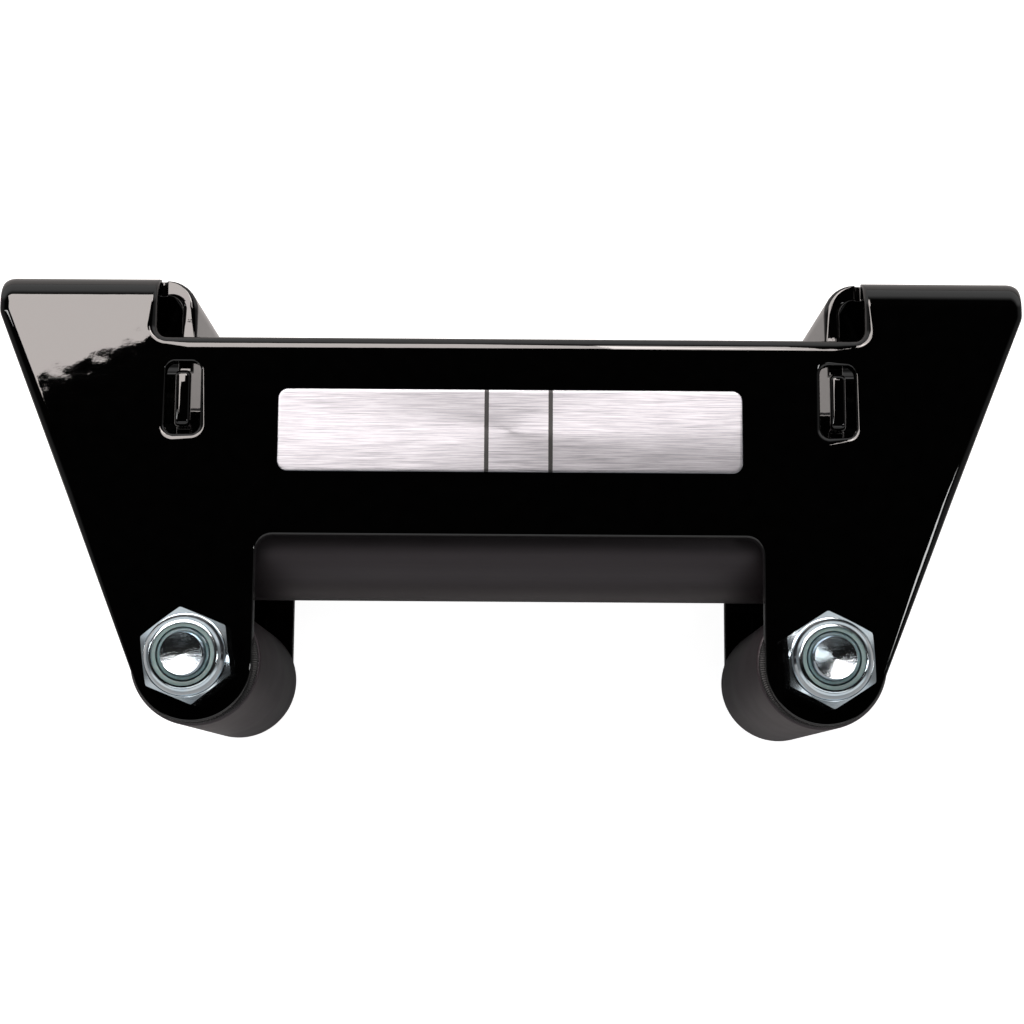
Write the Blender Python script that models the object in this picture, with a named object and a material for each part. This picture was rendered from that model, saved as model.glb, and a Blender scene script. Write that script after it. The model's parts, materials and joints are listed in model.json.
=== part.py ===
"""Roller fairlead for a small winch: a bent sheet frame with two upright and two level rollers.

Metres, +Z up. The mounting face looks along +Y and the rope leaves along -Y. All pieces hang on one
empty at the middle of the mounting face, so "forward" below is the distance from that face, along -Y.
"""
import bpy
import bmesh
from math import asin, atan2, cos, pi, radians, sin, sqrt, tan
from mathutils import Matrix, Vector

# Clearances
SEAT = 0.0003               # between two faces that bear on each other
RUNNING = 0.0003            # between a shaft and what turns on it, on the radius
END_PLAY = 0.0004           # between a bushing's flange and the sheet beside it
ROLLER_GAP = 0.0005         # between the upper level roller and the upright rollers
HOLE_PLAY = 0.0004          # between a bolt or a pin and its hole in the sheet, on the radius

# Sheet frame
SHEET = 0.0045
FRAME_HEIGHT = 0.112        # over both flanges
EAR_SIDE = 0.0117           # straight side of an ear before the flange tapers
FLANGE_BEND = 0.0044        # inner radius where a flange leaves the web
FLANGE_DEPTH = 0.0777       # from the mounting face to the back of the front cutout
CUTOUT_CORNER = 0.0050
EAR_CORNER = 0.0026
LEG_END = 0.0172            # radius of a leg's round end
LEG_AHEAD = 0.0010          # how far the middle of a leg's round end lies ahead of its bolt
EDGE_ROUND = 0.0005         # worn and coated edges
WELD = 0.0001

# Window in the web, with side flaps bent forward out of it
FLAP_OUT = 0.0028           # a flap's rope side beyond the upright rollers' axes
FLAP_BEND = 0.0044          # inner radius of a flap's bend
FLAP_MARGIN = 0.0138        # of sheet in front of the upper pin's axis
FLAP_CORNER = 0.0090
FLAP_GAP = 0.0005           # between a flap's edge and the flange above it
RELIEF = 0.0017             # sideways room that the notch leaves past the bend
CORNER_RELIEF = 0.0016      # radius of the hole where a notch meets a flap's root
NOTCH_DEPTH = 0.0188
NOTCH_CORNER = 0.0032
TAB_START = 0.0288
TAB_LENGTH = 0.0170
TAB_RECESS = 0.0007         # how far a tab's end stays below the flange's outer face
TAB_CORNER = 0.0015
TAB_SIDE_PLAY = 0.0030
TAB_END_PLAY = 0.0023
SLOT_CORNER = 0.0028

# Mounting slots in the ears
MOUNT_SPACING = 0.254
EAR_MARGIN = 0.024          # from a slot's middle to the ear's side
MOUNT_SLOT_LENGTH = 0.021
MOUNT_SLOT_WIDTH = 0.014

# Rollers
ROLLER_RADIUS = 0.01905
ROLLER_WALL = 0.0032
ROLLER_EDGE = 0.0008
UPRIGHT_SPACING = 0.182
UPRIGHT_FORWARD = 0.1138
LEVEL_FLANGE_GAP = 0.0020   # between a level roller and the flange beside it
LOWER_SET_BACK = 0.0074     # how far the lower level roller lies behind the upper one

# Flanged bushings in the roller ends
BUSHING_FLANGE = 0.0014
BUSHING_INSET = 0.0005      # bushing flange inside the roller's outer surface
BUSHING_HUB = 0.0120
BUSHING_CHAMFER = 0.0005

# Bolts and lock nuts of the upright rollers
BOLT_RADIUS = 0.008
BOLT_HEAD = 0.010
HEX_FLATS = 0.0242
HEX_TURN = {"left": radians(8), "right": radians(3)}
HEX_CHAMFER = radians(28)
HEX_FACE = 0.0233           # across the flat ring inside the chamfer
BOLT_PROUD = 0.0026         # how far a bolt's end stands out of its nut
BOLT_END_CHAMFER = 0.0018
NUT_HEX = 0.0118
NUT_HEIGHT = 0.016
NUT_LIP = 0.0009            # from the bolt's surface to the crimped lip
NUT_COLLAR = 0.0230          # across the domed collar
NUT_COLLAR_WALL = 0.0010
INSERT_HEIGHT = 0.0030

# Pins and retaining clips of the level rollers
PIN_RADIUS = 0.00635
PIN_PROUD = 0.0046
GROOVE_DEPTH = 0.0013
CLIP_THICKNESS = 0.0013
CLIP_RADIUS = 0.0105
CLIP_BAND = 0.0024
CLIP_MOUTH = radians(38)
CLIP_PRONG = radians(13)
CLIP_THROAT = radians(9)    # from a prong's foot to the band

# Label plate, bare
LABEL_LENGTH = 0.1357
LABEL_WIDTH = 0.0244
LABEL_THICKNESS = 0.0006
LABEL_CORNER = 0.0030
LABEL_FORWARD = 0.0469
LABEL_SEAT = 0.0001

# Facets
ROUND = 36                  # sides of a roller
SMALL_ROUND = 20            # sides of a bushing, bolt or pin
ARC_STEP = radians(18)      # turn from one facet to the next round a corner
LEG_STEP = radians(12)      # and round a leg's end
BEND_FACETS = 6             # round a flap's bend
EDGE_FACETS = 2             # round a roller's edge
DOME_FACETS = 5             # from a nut's collar up to its lip
BAND_FACETS = 22            # round the outside of a clip
THROAT_FACETS = 6           # round the inside of its band, between two prongs
PRONG_FACETS = 3            # across a prong's grip
SHARP_ANGLE = radians(35)   # folds steeper than this stay sharp when shaded
ROUNDED_ANGLE = radians(40) # folds of the sheet steeper than this get the coated edge
FLAT_ANGLE = radians(0.5)   # faces closer than this to one plane become one face

# Places worked out from the sizes above
OUTER = FRAME_HEIGHT / 2
INNER = OUTER - SHEET
HALF_WIDTH = MOUNT_SPACING / 2 + EAR_MARGIN
UPRIGHT_X = UPRIGHT_SPACING / 2
LEVEL_FORWARD = UPRIGHT_FORWARD - 2 * ROLLER_RADIUS - ROLLER_GAP
LEVEL_HEIGHT = INNER - LEVEL_FLANGE_GAP - ROLLER_RADIUS
FLAP_REACH = LEVEL_FORWARD + FLAP_MARGIN
FLAP_HALF = INNER - FLAP_GAP
ROOT_HALF = INNER - FLANGE_BEND - EDGE_ROUND
FLAP_FACE = UPRIGHT_X + FLAP_OUT
FLAP_OUTSIDE = FLAP_FACE + SHEET
BEND_X = FLAP_OUTSIDE + FLAP_BEND
REACH = UPRIGHT_FORWARD + max(ROLLER_RADIUS, LEG_END)
MOUNT_PLACE = Vector((0, REACH / 2, BOLT_HEAD + SEAT + OUTER))


def clear_scene():
    for thing in list(bpy.data.objects):
        bpy.data.objects.remove(thing, do_unlink=True)


def finish(name, colour, roughness, metallic):
    """A plain surface finish."""
    material = bpy.data.materials.new(name)
    material.use_nodes = True
    shader = material.node_tree.nodes["Principled BSDF"]
    shader.inputs["Base Color"].default_value = (*colour, 1)
    shader.inputs["Roughness"].default_value = roughness
    shader.inputs["Metallic"].default_value = metallic
    return material


def add(name, mesh, material, parent, smooth=True):
    """Puts a mesh in the scene as a named sub-part."""
    thing = bpy.data.objects.new(name, mesh)
    bpy.context.collection.objects.link(thing)
    thing.parent = parent
    mesh.materials.append(material)
    if smooth:
        mesh.shade_smooth()
        mesh.set_sharp_from_angle(angle=SHARP_ANGLE)
    return thing


def to_mesh(name, bm):
    bmesh.ops.recalc_face_normals(bm, faces=bm.faces)
    mesh = bpy.data.meshes.new(name)
    bm.to_mesh(mesh)
    bm.free()
    return mesh


def arc(centre, radius, start, end, steps=None, rise=None):
    """Points along an arc, both ends included; angles in radians, rise the second radius of an ellipse."""
    steps = steps or max(2, round(abs(end - start) / ARC_STEP))
    rise = radius if rise is None else rise
    angles = [start + (end - start) * step / steps for step in range(steps + 1)]
    return [(centre[0] + radius * cos(angle), centre[1] + rise * sin(angle)) for angle in angles]


def rounded(corners):
    """A closed outline from corners (x, y, radius), each rounded by an arc tangent to its two sides."""
    outline = []
    for index, (x, y, radius) in enumerate(corners):
        here = Vector((x, y))
        if radius == 0:
            outline.append((x, y))
            continue
        before = (Vector(corners[index - 1][:2]) - here).normalized()
        after = (Vector(corners[(index + 1) % len(corners)][:2]) - here).normalized()
        half = before.angle(after) / 2
        centre = here + (before + after).normalized() * radius / sin(half)
        first = here + before * radius / (sin(half) / cos(half)) - centre
        turn = pi - 2 * half
        steps = max(2, round(turn / ARC_STEP))
        if before.x * after.y - before.y * after.x > 0:
            turn = -turn
        for step in range(steps + 1):
            spoke = Matrix.Rotation(turn * step / steps, 2) @ first
            outline.append(tuple(centre + spoke))
    return outline


def prism(name, outline, low, high, along="Z"):
    """A closed outline extruded between two heights along one axis."""
    place = {"Z": lambda a, b, h: (a, b, h),
             "X": lambda a, b, h: (h, a, b),
             "Y": lambda a, b, h: (a, h, b)}[along]
    bm = bmesh.new()
    face = bm.faces.new([bm.verts.new(place(a, b, low)) for a, b in outline])
    top = bmesh.ops.extrude_face_region(bm, geom=[face])
    moved = [item for item in top["geom"] if isinstance(item, bmesh.types.BMVert)]
    rise = Vector(place(0, 0, high)) - Vector(place(0, 0, low))
    bmesh.ops.translate(bm, verts=moved, vec=rise)
    return to_mesh(name, bm)


def turned(name, outline, sides, closed=True):
    """An outline of (radius, height) points spun about Z; an open one runs from axis to axis."""
    bm = bmesh.new()
    verts = [bm.verts.new((radius, 0, height)) for radius, height in outline]
    pairs = list(zip(verts, verts[1:]))
    if closed:
        pairs.append((verts[-1], verts[0]))
    edges = [bm.edges.new(pair) for pair in pairs]
    bmesh.ops.spin(bm, geom=verts + edges, cent=(0, 0, 0), axis=(0, 0, 1), angle=2 * pi, steps=sides)
    bmesh.ops.remove_doubles(bm, verts=bm.verts, dist=1e-6)
    return to_mesh(name, bm)


def joined(name, meshes):
    """Several separate bodies in one mesh, for use as a cutter."""
    bm = bmesh.new()
    for mesh in meshes:
        bm.from_mesh(mesh)
    return to_mesh(name, bm)


def mirrored(mesh):
    """The same shape on the other side of the middle plane."""
    other = mesh.copy()
    other.transform(Matrix.Scale(-1, 4, Vector((1, 0, 0))))
    other.flip_normals()
    return other


def tool(name, mesh, parent):
    """A body used only by a Boolean."""
    thing = bpy.data.objects.new(name, mesh)
    bpy.context.collection.objects.link(thing)
    thing.parent = parent
    thing.hide_render = True
    thing.display_type = "WIRE"
    return thing


def combine(target, other, operation):
    modifier = target.modifiers.new(other.name, "BOOLEAN")
    modifier.solver = "EXACT"
    modifier.operation = operation
    modifier.object = other


def channel_profile(depth):
    """Outline of the bent channel seen from its end, in (y, z), with its back at y = 0."""
    outside = FLANGE_BEND + SHEET
    bend = OUTER - outside
    upper_outer = arc((-outside, bend), outside, pi / 2, 0)
    upper_inner = arc((-outside, bend), FLANGE_BEND, 0, pi / 2)
    lower_outer = [(y, -z) for y, z in reversed(upper_outer)]
    lower_inner = [(y, -z) for y, z in reversed(upper_inner)]
    outer = [(-depth, OUTER)] + upper_outer + lower_outer + [(-depth, -OUTER)]
    inner = [(-depth, -INNER)] + lower_inner + upper_inner + [(-depth, INNER)]
    return outer + inner


def flange_outline():
    """Plan of the frame in (x, y): ears at the back, tapered sides, and two legs with round ends."""
    centre = Vector((UPRIGHT_X, -UPRIGHT_FORWARD - LEG_AHEAD))
    ear = Vector((HALF_WIDTH, -EAR_SIDE))
    reach = centre - ear
    side = atan2(reach.y, reach.x) + asin(LEG_END / reach.length)
    tangent = side + pi / 2
    end = arc(centre, LEG_END, tangent, -pi, round((tangent + pi) / LEG_STEP))
    inside = centre.x - LEG_END
    half = [(HALF_WIDTH, 0, EAR_CORNER), (HALF_WIDTH, -EAR_SIDE, EAR_CORNER)]
    half += [(x, y, 0) for x, y in end]
    half += [(inside, -FLANGE_DEPTH, CUTOUT_CORNER)]
    other = [(-x, y, radius) for x, y, radius in reversed(half)]
    return rounded(half + other)


def slot_outline(x, y, length_x, length_y, radius):
    """A rectangle with rounded corners about (x, y)."""
    a = length_x / 2
    b = length_y / 2
    return rounded([(x + a, y + b, radius), (x - a, y + b, radius),
                    (x - a, y - b, radius), (x + a, y - b, radius)])


def stadium(x, y, length, width):
    """A slot with round ends about (x, y)."""
    reach = (length - width) / 2
    return arc((x + reach, y), width / 2, -pi / 2, pi / 2) + arc((x - reach, y), width / 2, pi / 2, 3 * pi / 2)


def circle(x, y, radius, sides):
    return arc((x, y), radius, 0, 2 * pi * (sides - 1) / sides, sides - 1)


def flap_outline():
    """Plan of one side flap in (x, y): out of the web, round the bend and forward beside the rollers."""
    outside = FLAP_BEND + SHEET
    root = BEND_X + RELIEF + 2 * SHEET
    round_outer = arc((BEND_X, -outside), outside, pi / 2, pi, BEND_FACETS)
    round_inner = arc((BEND_X, -outside), FLAP_BEND, pi, pi / 2, BEND_FACETS)
    return [(root, 0)] + round_outer + [(FLAP_FACE, -FLAP_REACH), (FLAP_OUTSIDE, -FLAP_REACH)] \
        + round_inner + [(root, -SHEET)]


def flap_side():
    """Side view of a flap in (y, z), with a locating tab up and down."""
    tab = OUTER - TAB_RECESS
    far = TAB_START + TAB_LENGTH
    upper = [(SHEET, ROOT_HALF, 0), (-NOTCH_DEPTH, ROOT_HALF, 0), (-NOTCH_DEPTH, FLAP_HALF, 0),
             (-TAB_START, FLAP_HALF, 0), (-TAB_START, tab, TAB_CORNER), (-far, tab, TAB_CORNER),
             (-far, FLAP_HALF, 0), (-FLAP_REACH, FLAP_HALF, FLAP_CORNER)]
    lower = [(y, -z, radius) for y, z, radius in reversed(upper)]
    return rounded(upper + lower)


def level_axes():
    """Forward distance and height of the upper and lower level rollers' axes."""
    return {"upper": (LEVEL_FORWARD, LEVEL_HEIGHT),
            "lower": (LEVEL_FORWARD - LOWER_SET_BACK, -LEVEL_HEIGHT)}


def make_frame(parent, material):
    """One sheet: a channel, cut to its plan, with flaps bent forward out of the window in its web."""
    depth = REACH + SHEET
    beyond = OUTER + SHEET
    frame = add("frame", prism("frame", channel_profile(depth), -HALF_WIDTH - SHEET, HALF_WIDTH + SHEET, "X"),
                material, parent)
    plan = tool("cut_plan", prism("cut_plan", flange_outline(), -beyond, beyond), parent)
    combine(frame, plan, "INTERSECT")

    notch_half = BEND_X + RELIEF
    window = [(notch_half, SHEET, 0), (-notch_half, SHEET, 0),
              (-notch_half, -NOTCH_DEPTH, NOTCH_CORNER), (notch_half, -NOTCH_DEPTH, NOTCH_CORNER)]
    opening = tool("cut_window", prism("cut_window", rounded(window), -beyond, beyond), parent)
    combine(frame, opening, "DIFFERENCE")

    upright = []
    for side in (-1, 1):
        x = side * (FLAP_FACE + SHEET / 2)
        y = -(TAB_START + TAB_LENGTH / 2)
        slot = slot_outline(x, y, SHEET + 2 * TAB_SIDE_PLAY, TAB_LENGTH + 2 * TAB_END_PLAY, SLOT_CORNER)
        upright.append(prism("slot", slot, -beyond, beyond))
        hole = circle(side * UPRIGHT_X, -UPRIGHT_FORWARD, BOLT_RADIUS + HOLE_PLAY, SMALL_ROUND)
        upright.append(prism("hole", hole, -beyond, beyond))
    combine(frame, tool("cut_flanges", joined("cut_flanges", upright), parent), "DIFFERENCE")

    pins = []
    for forward, height in level_axes().values():
        hole = circle(-forward, height, PIN_RADIUS + HOLE_PLAY, SMALL_ROUND)
        pins.append(prism("pin_hole", hole, -HALF_WIDTH, HALF_WIDTH, "X"))
    pin_holes = tool("cut_pin_holes", joined("cut_pin_holes", pins), parent)
    side_view = tool("cut_flap", prism("cut_flap", flap_side(), -HALF_WIDTH, HALF_WIDTH, "X"), parent)
    flap = prism("flap", flap_outline(), -beyond, beyond)
    for name, mesh in (("flap_left", mirrored(flap)), ("flap_right", flap)):
        blank = tool(name, mesh, parent)
        combine(blank, side_view, "INTERSECT")
        combine(blank, pin_holes, "DIFFERENCE")
        combine(frame, blank, "UNION")

    back = []
    for side in (-1, 1):
        slot = stadium(side * MOUNT_SPACING / 2, 0, MOUNT_SLOT_LENGTH, MOUNT_SLOT_WIDTH)
        back.append(prism("ear_slot", slot, -2 * SHEET, SHEET, "Y"))
        for end in (-1, 1):
            relief = circle(side * notch_half, end * ROOT_HALF, CORNER_RELIEF, SMALL_ROUND // 2)
            back.append(prism("relief", relief, -2 * SHEET, SHEET, "Y"))
    combine(frame, tool("cut_back", joined("cut_back", back), parent), "DIFFERENCE")

    weld = frame.modifiers.new("weld", "WELD")
    weld.merge_threshold = WELD
    flat = frame.modifiers.new("flat_faces", "DECIMATE")
    flat.decimate_type = "DISSOLVE"
    flat.angle_limit = FLAT_ANGLE
    edges = frame.modifiers.new("coated_edges", "BEVEL")
    edges.width = EDGE_ROUND
    edges.segments = 1
    edges.use_clamp_overlap = False
    edges.limit_method = "ANGLE"
    edges.angle_limit = ROUNDED_ANGLE
    seam = frame.modifiers.new("seam", "WELD")
    seam.merge_threshold = WELD / 4
    return frame


def roller_mesh(length):
    """A tube on Z about the origin, with rounded ends."""
    outer = ROLLER_RADIUS
    bore = ROLLER_RADIUS - ROLLER_WALL
    half = length / 2
    upper = arc((outer - ROLLER_EDGE, half - ROLLER_EDGE), ROLLER_EDGE, 0, pi / 2, EDGE_FACETS)
    upper.append((bore, half))
    lower = [(radius, -height) for radius, height in reversed(upper)]
    return turned("roller", upper + lower, ROUND)


def bushing_mesh(shaft):
    """A flanged bushing on Z: its flange's outer face is at z = 0 and its hub points down."""
    bore = shaft + RUNNING
    flange = ROLLER_RADIUS - BUSHING_INSET
    hub = ROLLER_RADIUS - ROLLER_WALL - SEAT
    under = -BUSHING_FLANGE
    bottom = under - SEAT - BUSHING_HUB
    edge = BUSHING_CHAMFER
    return turned("bushing", [(bore, 0), (flange - edge, 0), (flange, -edge), (flange, under), (hub, under),
                              (hub, bottom + edge), (hub - edge, bottom), (bore, bottom)], SMALL_ROUND)


def make_roller(name, parent, place, turn, gap_length, shaft, finishes):
    """A roller with its two bushings, on an axis through place, between sheets gap_length apart."""
    flange_face = gap_length / 2 - END_PLAY
    length = 2 * (flange_face - BUSHING_FLANGE - SEAT)
    axis = bpy.data.objects.new(name + "_axis", None)
    bpy.context.collection.objects.link(axis)
    axis.parent = parent
    axis.location = place
    axis.rotation_euler = turn
    add(name, roller_mesh(length), finishes["roller"], axis)
    mesh = bushing_mesh(shaft)
    first = add(name + "_bushing_a", mesh, finishes["bushing"], axis)
    first.location = (0, 0, flange_face)
    second = add(name + "_bushing_b", mesh.copy(), finishes["bushing"], axis)
    second.location = (0, 0, -flange_face)
    second.rotation_euler = (pi, 0, 0)


def hexagon(flats):
    """Corners of a hexagon, one of them on the +Y axis."""
    return [(flats / sqrt(3) * cos(pi / 2 + pi / 3 * step), flats / sqrt(3) * sin(pi / 2 + pi / 3 * step))
            for step in range(6)]


def hex_body(name, low, high, chamfer_low, chamfer_high, parent, turn):
    """A hexagonal prism whose corners are chamfered at one or both ends, as a tool."""
    body = tool(name, prism(name, hexagon(HEX_FLATS), low, high), parent)
    corner = HEX_FLATS / sqrt(3) + HEX_FLATS - HEX_FACE
    flat = HEX_FACE / 2
    fall = (corner - flat) * tan(HEX_CHAMFER)
    profile = [(0, low), (flat, low), (corner, low + fall)] if chamfer_low else [(0, low), (corner, low)]
    profile += [(corner, high - fall), (flat, high), (0, high)] if chamfer_high else [(corner, high), (0, high)]
    cone = tool(name + "_chamfer", turned(name + "_chamfer", profile, SMALL_ROUND, closed=False), parent)
    body.rotation_euler = (0, 0, turn)
    combine(body, cone, "INTERSECT")
    return body


def make_bolt(name, parent, x, turn, material):
    """A hexagon bolt that points up: its head is under the lower flange, its end above the nut."""
    place = Vector((x, -UPRIGHT_FORWARD, 0))
    holder = bpy.data.objects.new(name + "_axis", None)
    bpy.context.collection.objects.link(holder)
    holder.parent = parent
    holder.location = place
    under = -OUTER - SEAT
    end = OUTER + SEAT + NUT_HEIGHT + BOLT_PROUD
    shank = [(0, under - BOLT_HEAD / 2), (BOLT_RADIUS, under - BOLT_HEAD / 2),
             (BOLT_RADIUS, end - BOLT_END_CHAMFER), (BOLT_RADIUS - BOLT_END_CHAMFER, end), (0, end)]
    bolt = add(name, turned(name, shank, SMALL_ROUND, closed=False), material, holder)
    combine(bolt, hex_body(name + "_head", under - BOLT_HEAD, under, True, False, holder, turn), "UNION")
    return bolt


def make_nut(name, parent, x, turn, finishes):
    """A lock nut with a domed collar that holds a nylon ring under its crimped lip."""
    holder = bpy.data.objects.new(name + "_axis", None)
    bpy.context.collection.objects.link(holder)
    holder.parent = parent
    holder.location = (x, -UPRIGHT_FORWARD, OUTER + SEAT)
    lip = BOLT_RADIUS + NUT_LIP
    crown = NUT_COLLAR / 2
    cavity = crown - NUT_COLLAR_WALL
    floor = NUT_HEX + SEAT
    roof = floor + INSERT_HEIGHT + 2 * SEAT
    dome = arc((lip, floor), crown - lip, 0, pi / 2, DOME_FACETS, NUT_HEIGHT - floor)
    collar = [(0, NUT_HEX / 2), (crown, NUT_HEX / 2)] + dome + [(0, NUT_HEIGHT)]
    nut = add(name, turned(name, collar, SMALL_ROUND, closed=False), finishes["zinc"], holder)
    combine(nut, hex_body(name + "_hexagon", 0, NUT_HEX, True, True, holder, turn), "UNION")
    bore = BOLT_RADIUS + RUNNING
    inside = [(0, -SHEET), (bore, -SHEET), (bore, floor), (cavity, floor), (cavity - NUT_LIP, roof),
              (lip, roof), (lip, NUT_HEIGHT + SHEET), (0, NUT_HEIGHT + SHEET)]
    combine(nut, tool(name + "_bore", turned(name + "_bore", inside, SMALL_ROUND, closed=False), holder),
            "DIFFERENCE")
    outer = cavity - NUT_LIP - SEAT
    low = floor + SEAT
    ring = [(bore, low), (outer, low), (outer, low + INSERT_HEIGHT), (bore, low + INSERT_HEIGHT)]
    add(name + "_insert", turned(name + "_insert", ring, SMALL_ROUND), finishes["nylon"], holder)


def make_pin(name, parent, forward, height, material):
    """A plain pin along X with a clip groove just outside each flap."""
    half = FLAP_OUTSIDE + PIN_PROUD
    groove = FLAP_OUTSIDE + SEAT
    width = CLIP_THICKNESS + 2 * SEAT
    neck = PIN_RADIUS - GROOVE_DEPTH
    lead = GROOVE_DEPTH / 2
    upper = [(PIN_RADIUS, groove), (neck, groove), (neck, groove + width), (PIN_RADIUS, groove + width),
             (PIN_RADIUS, half - lead), (PIN_RADIUS - lead, half), (0, half)]
    lower = [(radius, -z) for radius, z in reversed(upper)]
    pin = add(name, turned(name, lower + upper, SMALL_ROUND, closed=False), material, parent)
    pin.location = (0, -forward, height)
    pin.rotation_euler = (0, pi / 2, 0)
    return pin


def clip_mesh():
    """A flat spring clip: a band open at one side, with three prongs that reach into the groove."""
    grip = PIN_RADIUS - GROOVE_DEPTH + SEAT
    band = CLIP_RADIUS - CLIP_BAND
    first = CLIP_MOUTH
    last = 2 * pi - CLIP_MOUTH
    outer = arc((0, 0), CLIP_RADIUS, first, last, BAND_FACETS)
    inner = []
    for middle in (last - CLIP_PRONG, pi, first + CLIP_PRONG):
        inner += arc((0, 0), grip, middle + CLIP_PRONG, middle - CLIP_PRONG, PRONG_FACETS)
        if middle > first + CLIP_PRONG:
            after = pi if middle > pi else first + CLIP_PRONG
            foot = CLIP_PRONG + CLIP_THROAT
            inner += arc((0, 0), band, middle - foot, after + foot, THROAT_FACETS)
    return prism("clip", outer + inner, -CLIP_THICKNESS / 2, CLIP_THICKNESS / 2)


def make_clip(name, parent, side, forward, height, material):
    x = FLAP_OUTSIDE + 2 * SEAT + CLIP_THICKNESS / 2
    clip = add(name, clip_mesh(), material, parent)
    clip.location = (side * x, -forward, height)
    clip.rotation_euler = (0, pi / 2, 0)
    return clip


def make_label(parent, material):
    """A bare plate on the upper flange."""
    outline = slot_outline(0, -LABEL_FORWARD, LABEL_LENGTH, LABEL_WIDTH, LABEL_CORNER)
    low = OUTER + LABEL_SEAT
    return add("label_plate", prism("label_plate", outline, low, low + LABEL_THICKNESS), material, parent)


def main():
    clear_scene()
    finishes = {
        "coat": finish("black_powder_coat", (0.010, 0.010, 0.011), 0.25, 0.0),
        "roller": finish("black_roller_coat", (0.018, 0.017, 0.018), 0.45, 0.0),
        "bushing": finish("black_acetal", (0.012, 0.012, 0.012), 0.5, 0.0),
        "zinc": finish("bright_zinc", (0.68, 0.70, 0.74), 0.25, 1.0),
        "nylon": finish("grey_nylon", (0.30, 0.33, 0.28), 0.6, 0.0),
        "steel": finish("plain_steel", (0.45, 0.45, 0.46), 0.35, 1.0),
        "label": finish("brushed_aluminium", (0.66, 0.66, 0.66), 0.35, 1.0),
    }
    mount = bpy.data.objects.new("mounting_face", None)
    bpy.context.collection.objects.link(mount)
    mount.location = MOUNT_PLACE

    make_frame(mount, finishes["coat"])
    make_label(mount, finishes["label"])

    for side, word in ((-1, "left"), (1, "right")):
        turn = HEX_TURN[word]
        place = (side * UPRIGHT_X, -UPRIGHT_FORWARD, 0)
        make_roller("upright_roller_" + word, mount, place, (0, 0, 0), 2 * INNER, BOLT_RADIUS, finishes)
        make_bolt("bolt_" + word, mount, side * UPRIGHT_X, turn, finishes["zinc"])
        make_nut("lock_nut_" + word, mount, side * UPRIGHT_X, turn, finishes)

    for word, (forward, height) in level_axes().items():
        make_roller("level_roller_" + word, mount, (0, -forward, height), (0, pi / 2, 0),
                    2 * FLAP_FACE, PIN_RADIUS, finishes)
        make_pin("pin_" + word, mount, forward, height, finishes["steel"])
        for side, hand in ((-1, "left"), (1, "right")):
            make_clip("clip_" + word + "_" + hand, mount, side, forward, height, finishes["steel"])


main()
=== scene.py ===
# %% [markdown]
# A roller fairlead guides a winch rope. This one is a folded steel frame with two upright and two level
# rollers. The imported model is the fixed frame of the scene: its nodes give every place and size here, and
# each piece below is a finer surface laid over one of them, with the finish that the real piece has.

# %% Load the fixed frame
import json
import bmesh
import bpy
import numpy as np
from math import pi, radians, sin, tan
from mathutils import Matrix, Vector
from mathutils.geometry import delaunay_2d_cdt

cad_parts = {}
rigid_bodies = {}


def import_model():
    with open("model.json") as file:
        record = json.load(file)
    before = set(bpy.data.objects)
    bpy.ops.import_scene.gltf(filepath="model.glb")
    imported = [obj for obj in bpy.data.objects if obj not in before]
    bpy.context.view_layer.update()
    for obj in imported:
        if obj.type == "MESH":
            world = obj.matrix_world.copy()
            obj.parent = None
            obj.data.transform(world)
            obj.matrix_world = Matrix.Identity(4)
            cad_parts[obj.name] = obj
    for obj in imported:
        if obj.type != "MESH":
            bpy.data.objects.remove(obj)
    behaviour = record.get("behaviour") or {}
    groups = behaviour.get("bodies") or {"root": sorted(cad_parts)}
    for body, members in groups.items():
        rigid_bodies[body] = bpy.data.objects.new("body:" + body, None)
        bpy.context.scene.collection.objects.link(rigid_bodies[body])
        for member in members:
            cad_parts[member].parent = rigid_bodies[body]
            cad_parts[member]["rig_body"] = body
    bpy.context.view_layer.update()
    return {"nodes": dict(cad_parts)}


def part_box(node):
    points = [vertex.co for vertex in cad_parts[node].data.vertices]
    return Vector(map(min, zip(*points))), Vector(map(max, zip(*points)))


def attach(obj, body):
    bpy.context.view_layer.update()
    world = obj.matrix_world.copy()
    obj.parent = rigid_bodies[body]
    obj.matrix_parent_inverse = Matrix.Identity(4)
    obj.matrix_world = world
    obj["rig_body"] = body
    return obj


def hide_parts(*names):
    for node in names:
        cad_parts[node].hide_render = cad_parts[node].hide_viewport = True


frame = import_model()

# %% [markdown]
# The picture was taken from above and a little in front of the object, with a long lens. The camera is
# placed by that view: it stands over the rope side of the frame and leans back by a few degrees. It is
# turned a little about its own line of sight, because the object lies slightly askew in the picture.

# %% Camera
CAMERA_PLACE = Vector((0.0007, -0.0894, 0.6963))
CAMERA_LEAN = radians(8.43)
CAMERA_ROLL = radians(0.39)
FOCAL_LENGTH = 70.3             # millimetres on a sensor 36 mm wide

camera = bpy.data.objects.new("camera", bpy.data.cameras.new("camera"))
bpy.context.scene.collection.objects.link(camera)
camera.data.lens = FOCAL_LENGTH
camera.data.clip_start = 0.01
camera.matrix_world = (Matrix.Translation(CAMERA_PLACE) @ Matrix.Rotation(CAMERA_LEAN, 4, "X")
                       @ Matrix.Rotation(CAMERA_ROLL, 4, "Z"))
bpy.context.scene.camera = camera
bpy.context.scene.view_settings.view_transform = "Standard"
print("camera at", tuple(round(c, 4) for c in CAMERA_PLACE))

# %% [markdown]
# A material in Blender is a small tree of nodes. One helper adds a node with its settings and its links, one
# links outputs to a node's sockets, and one starts a material. Shaders count in linear light, while colours
# are easier to name as sRGB hex values, as on a paint chart, so one function turns these into linear ones.

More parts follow.
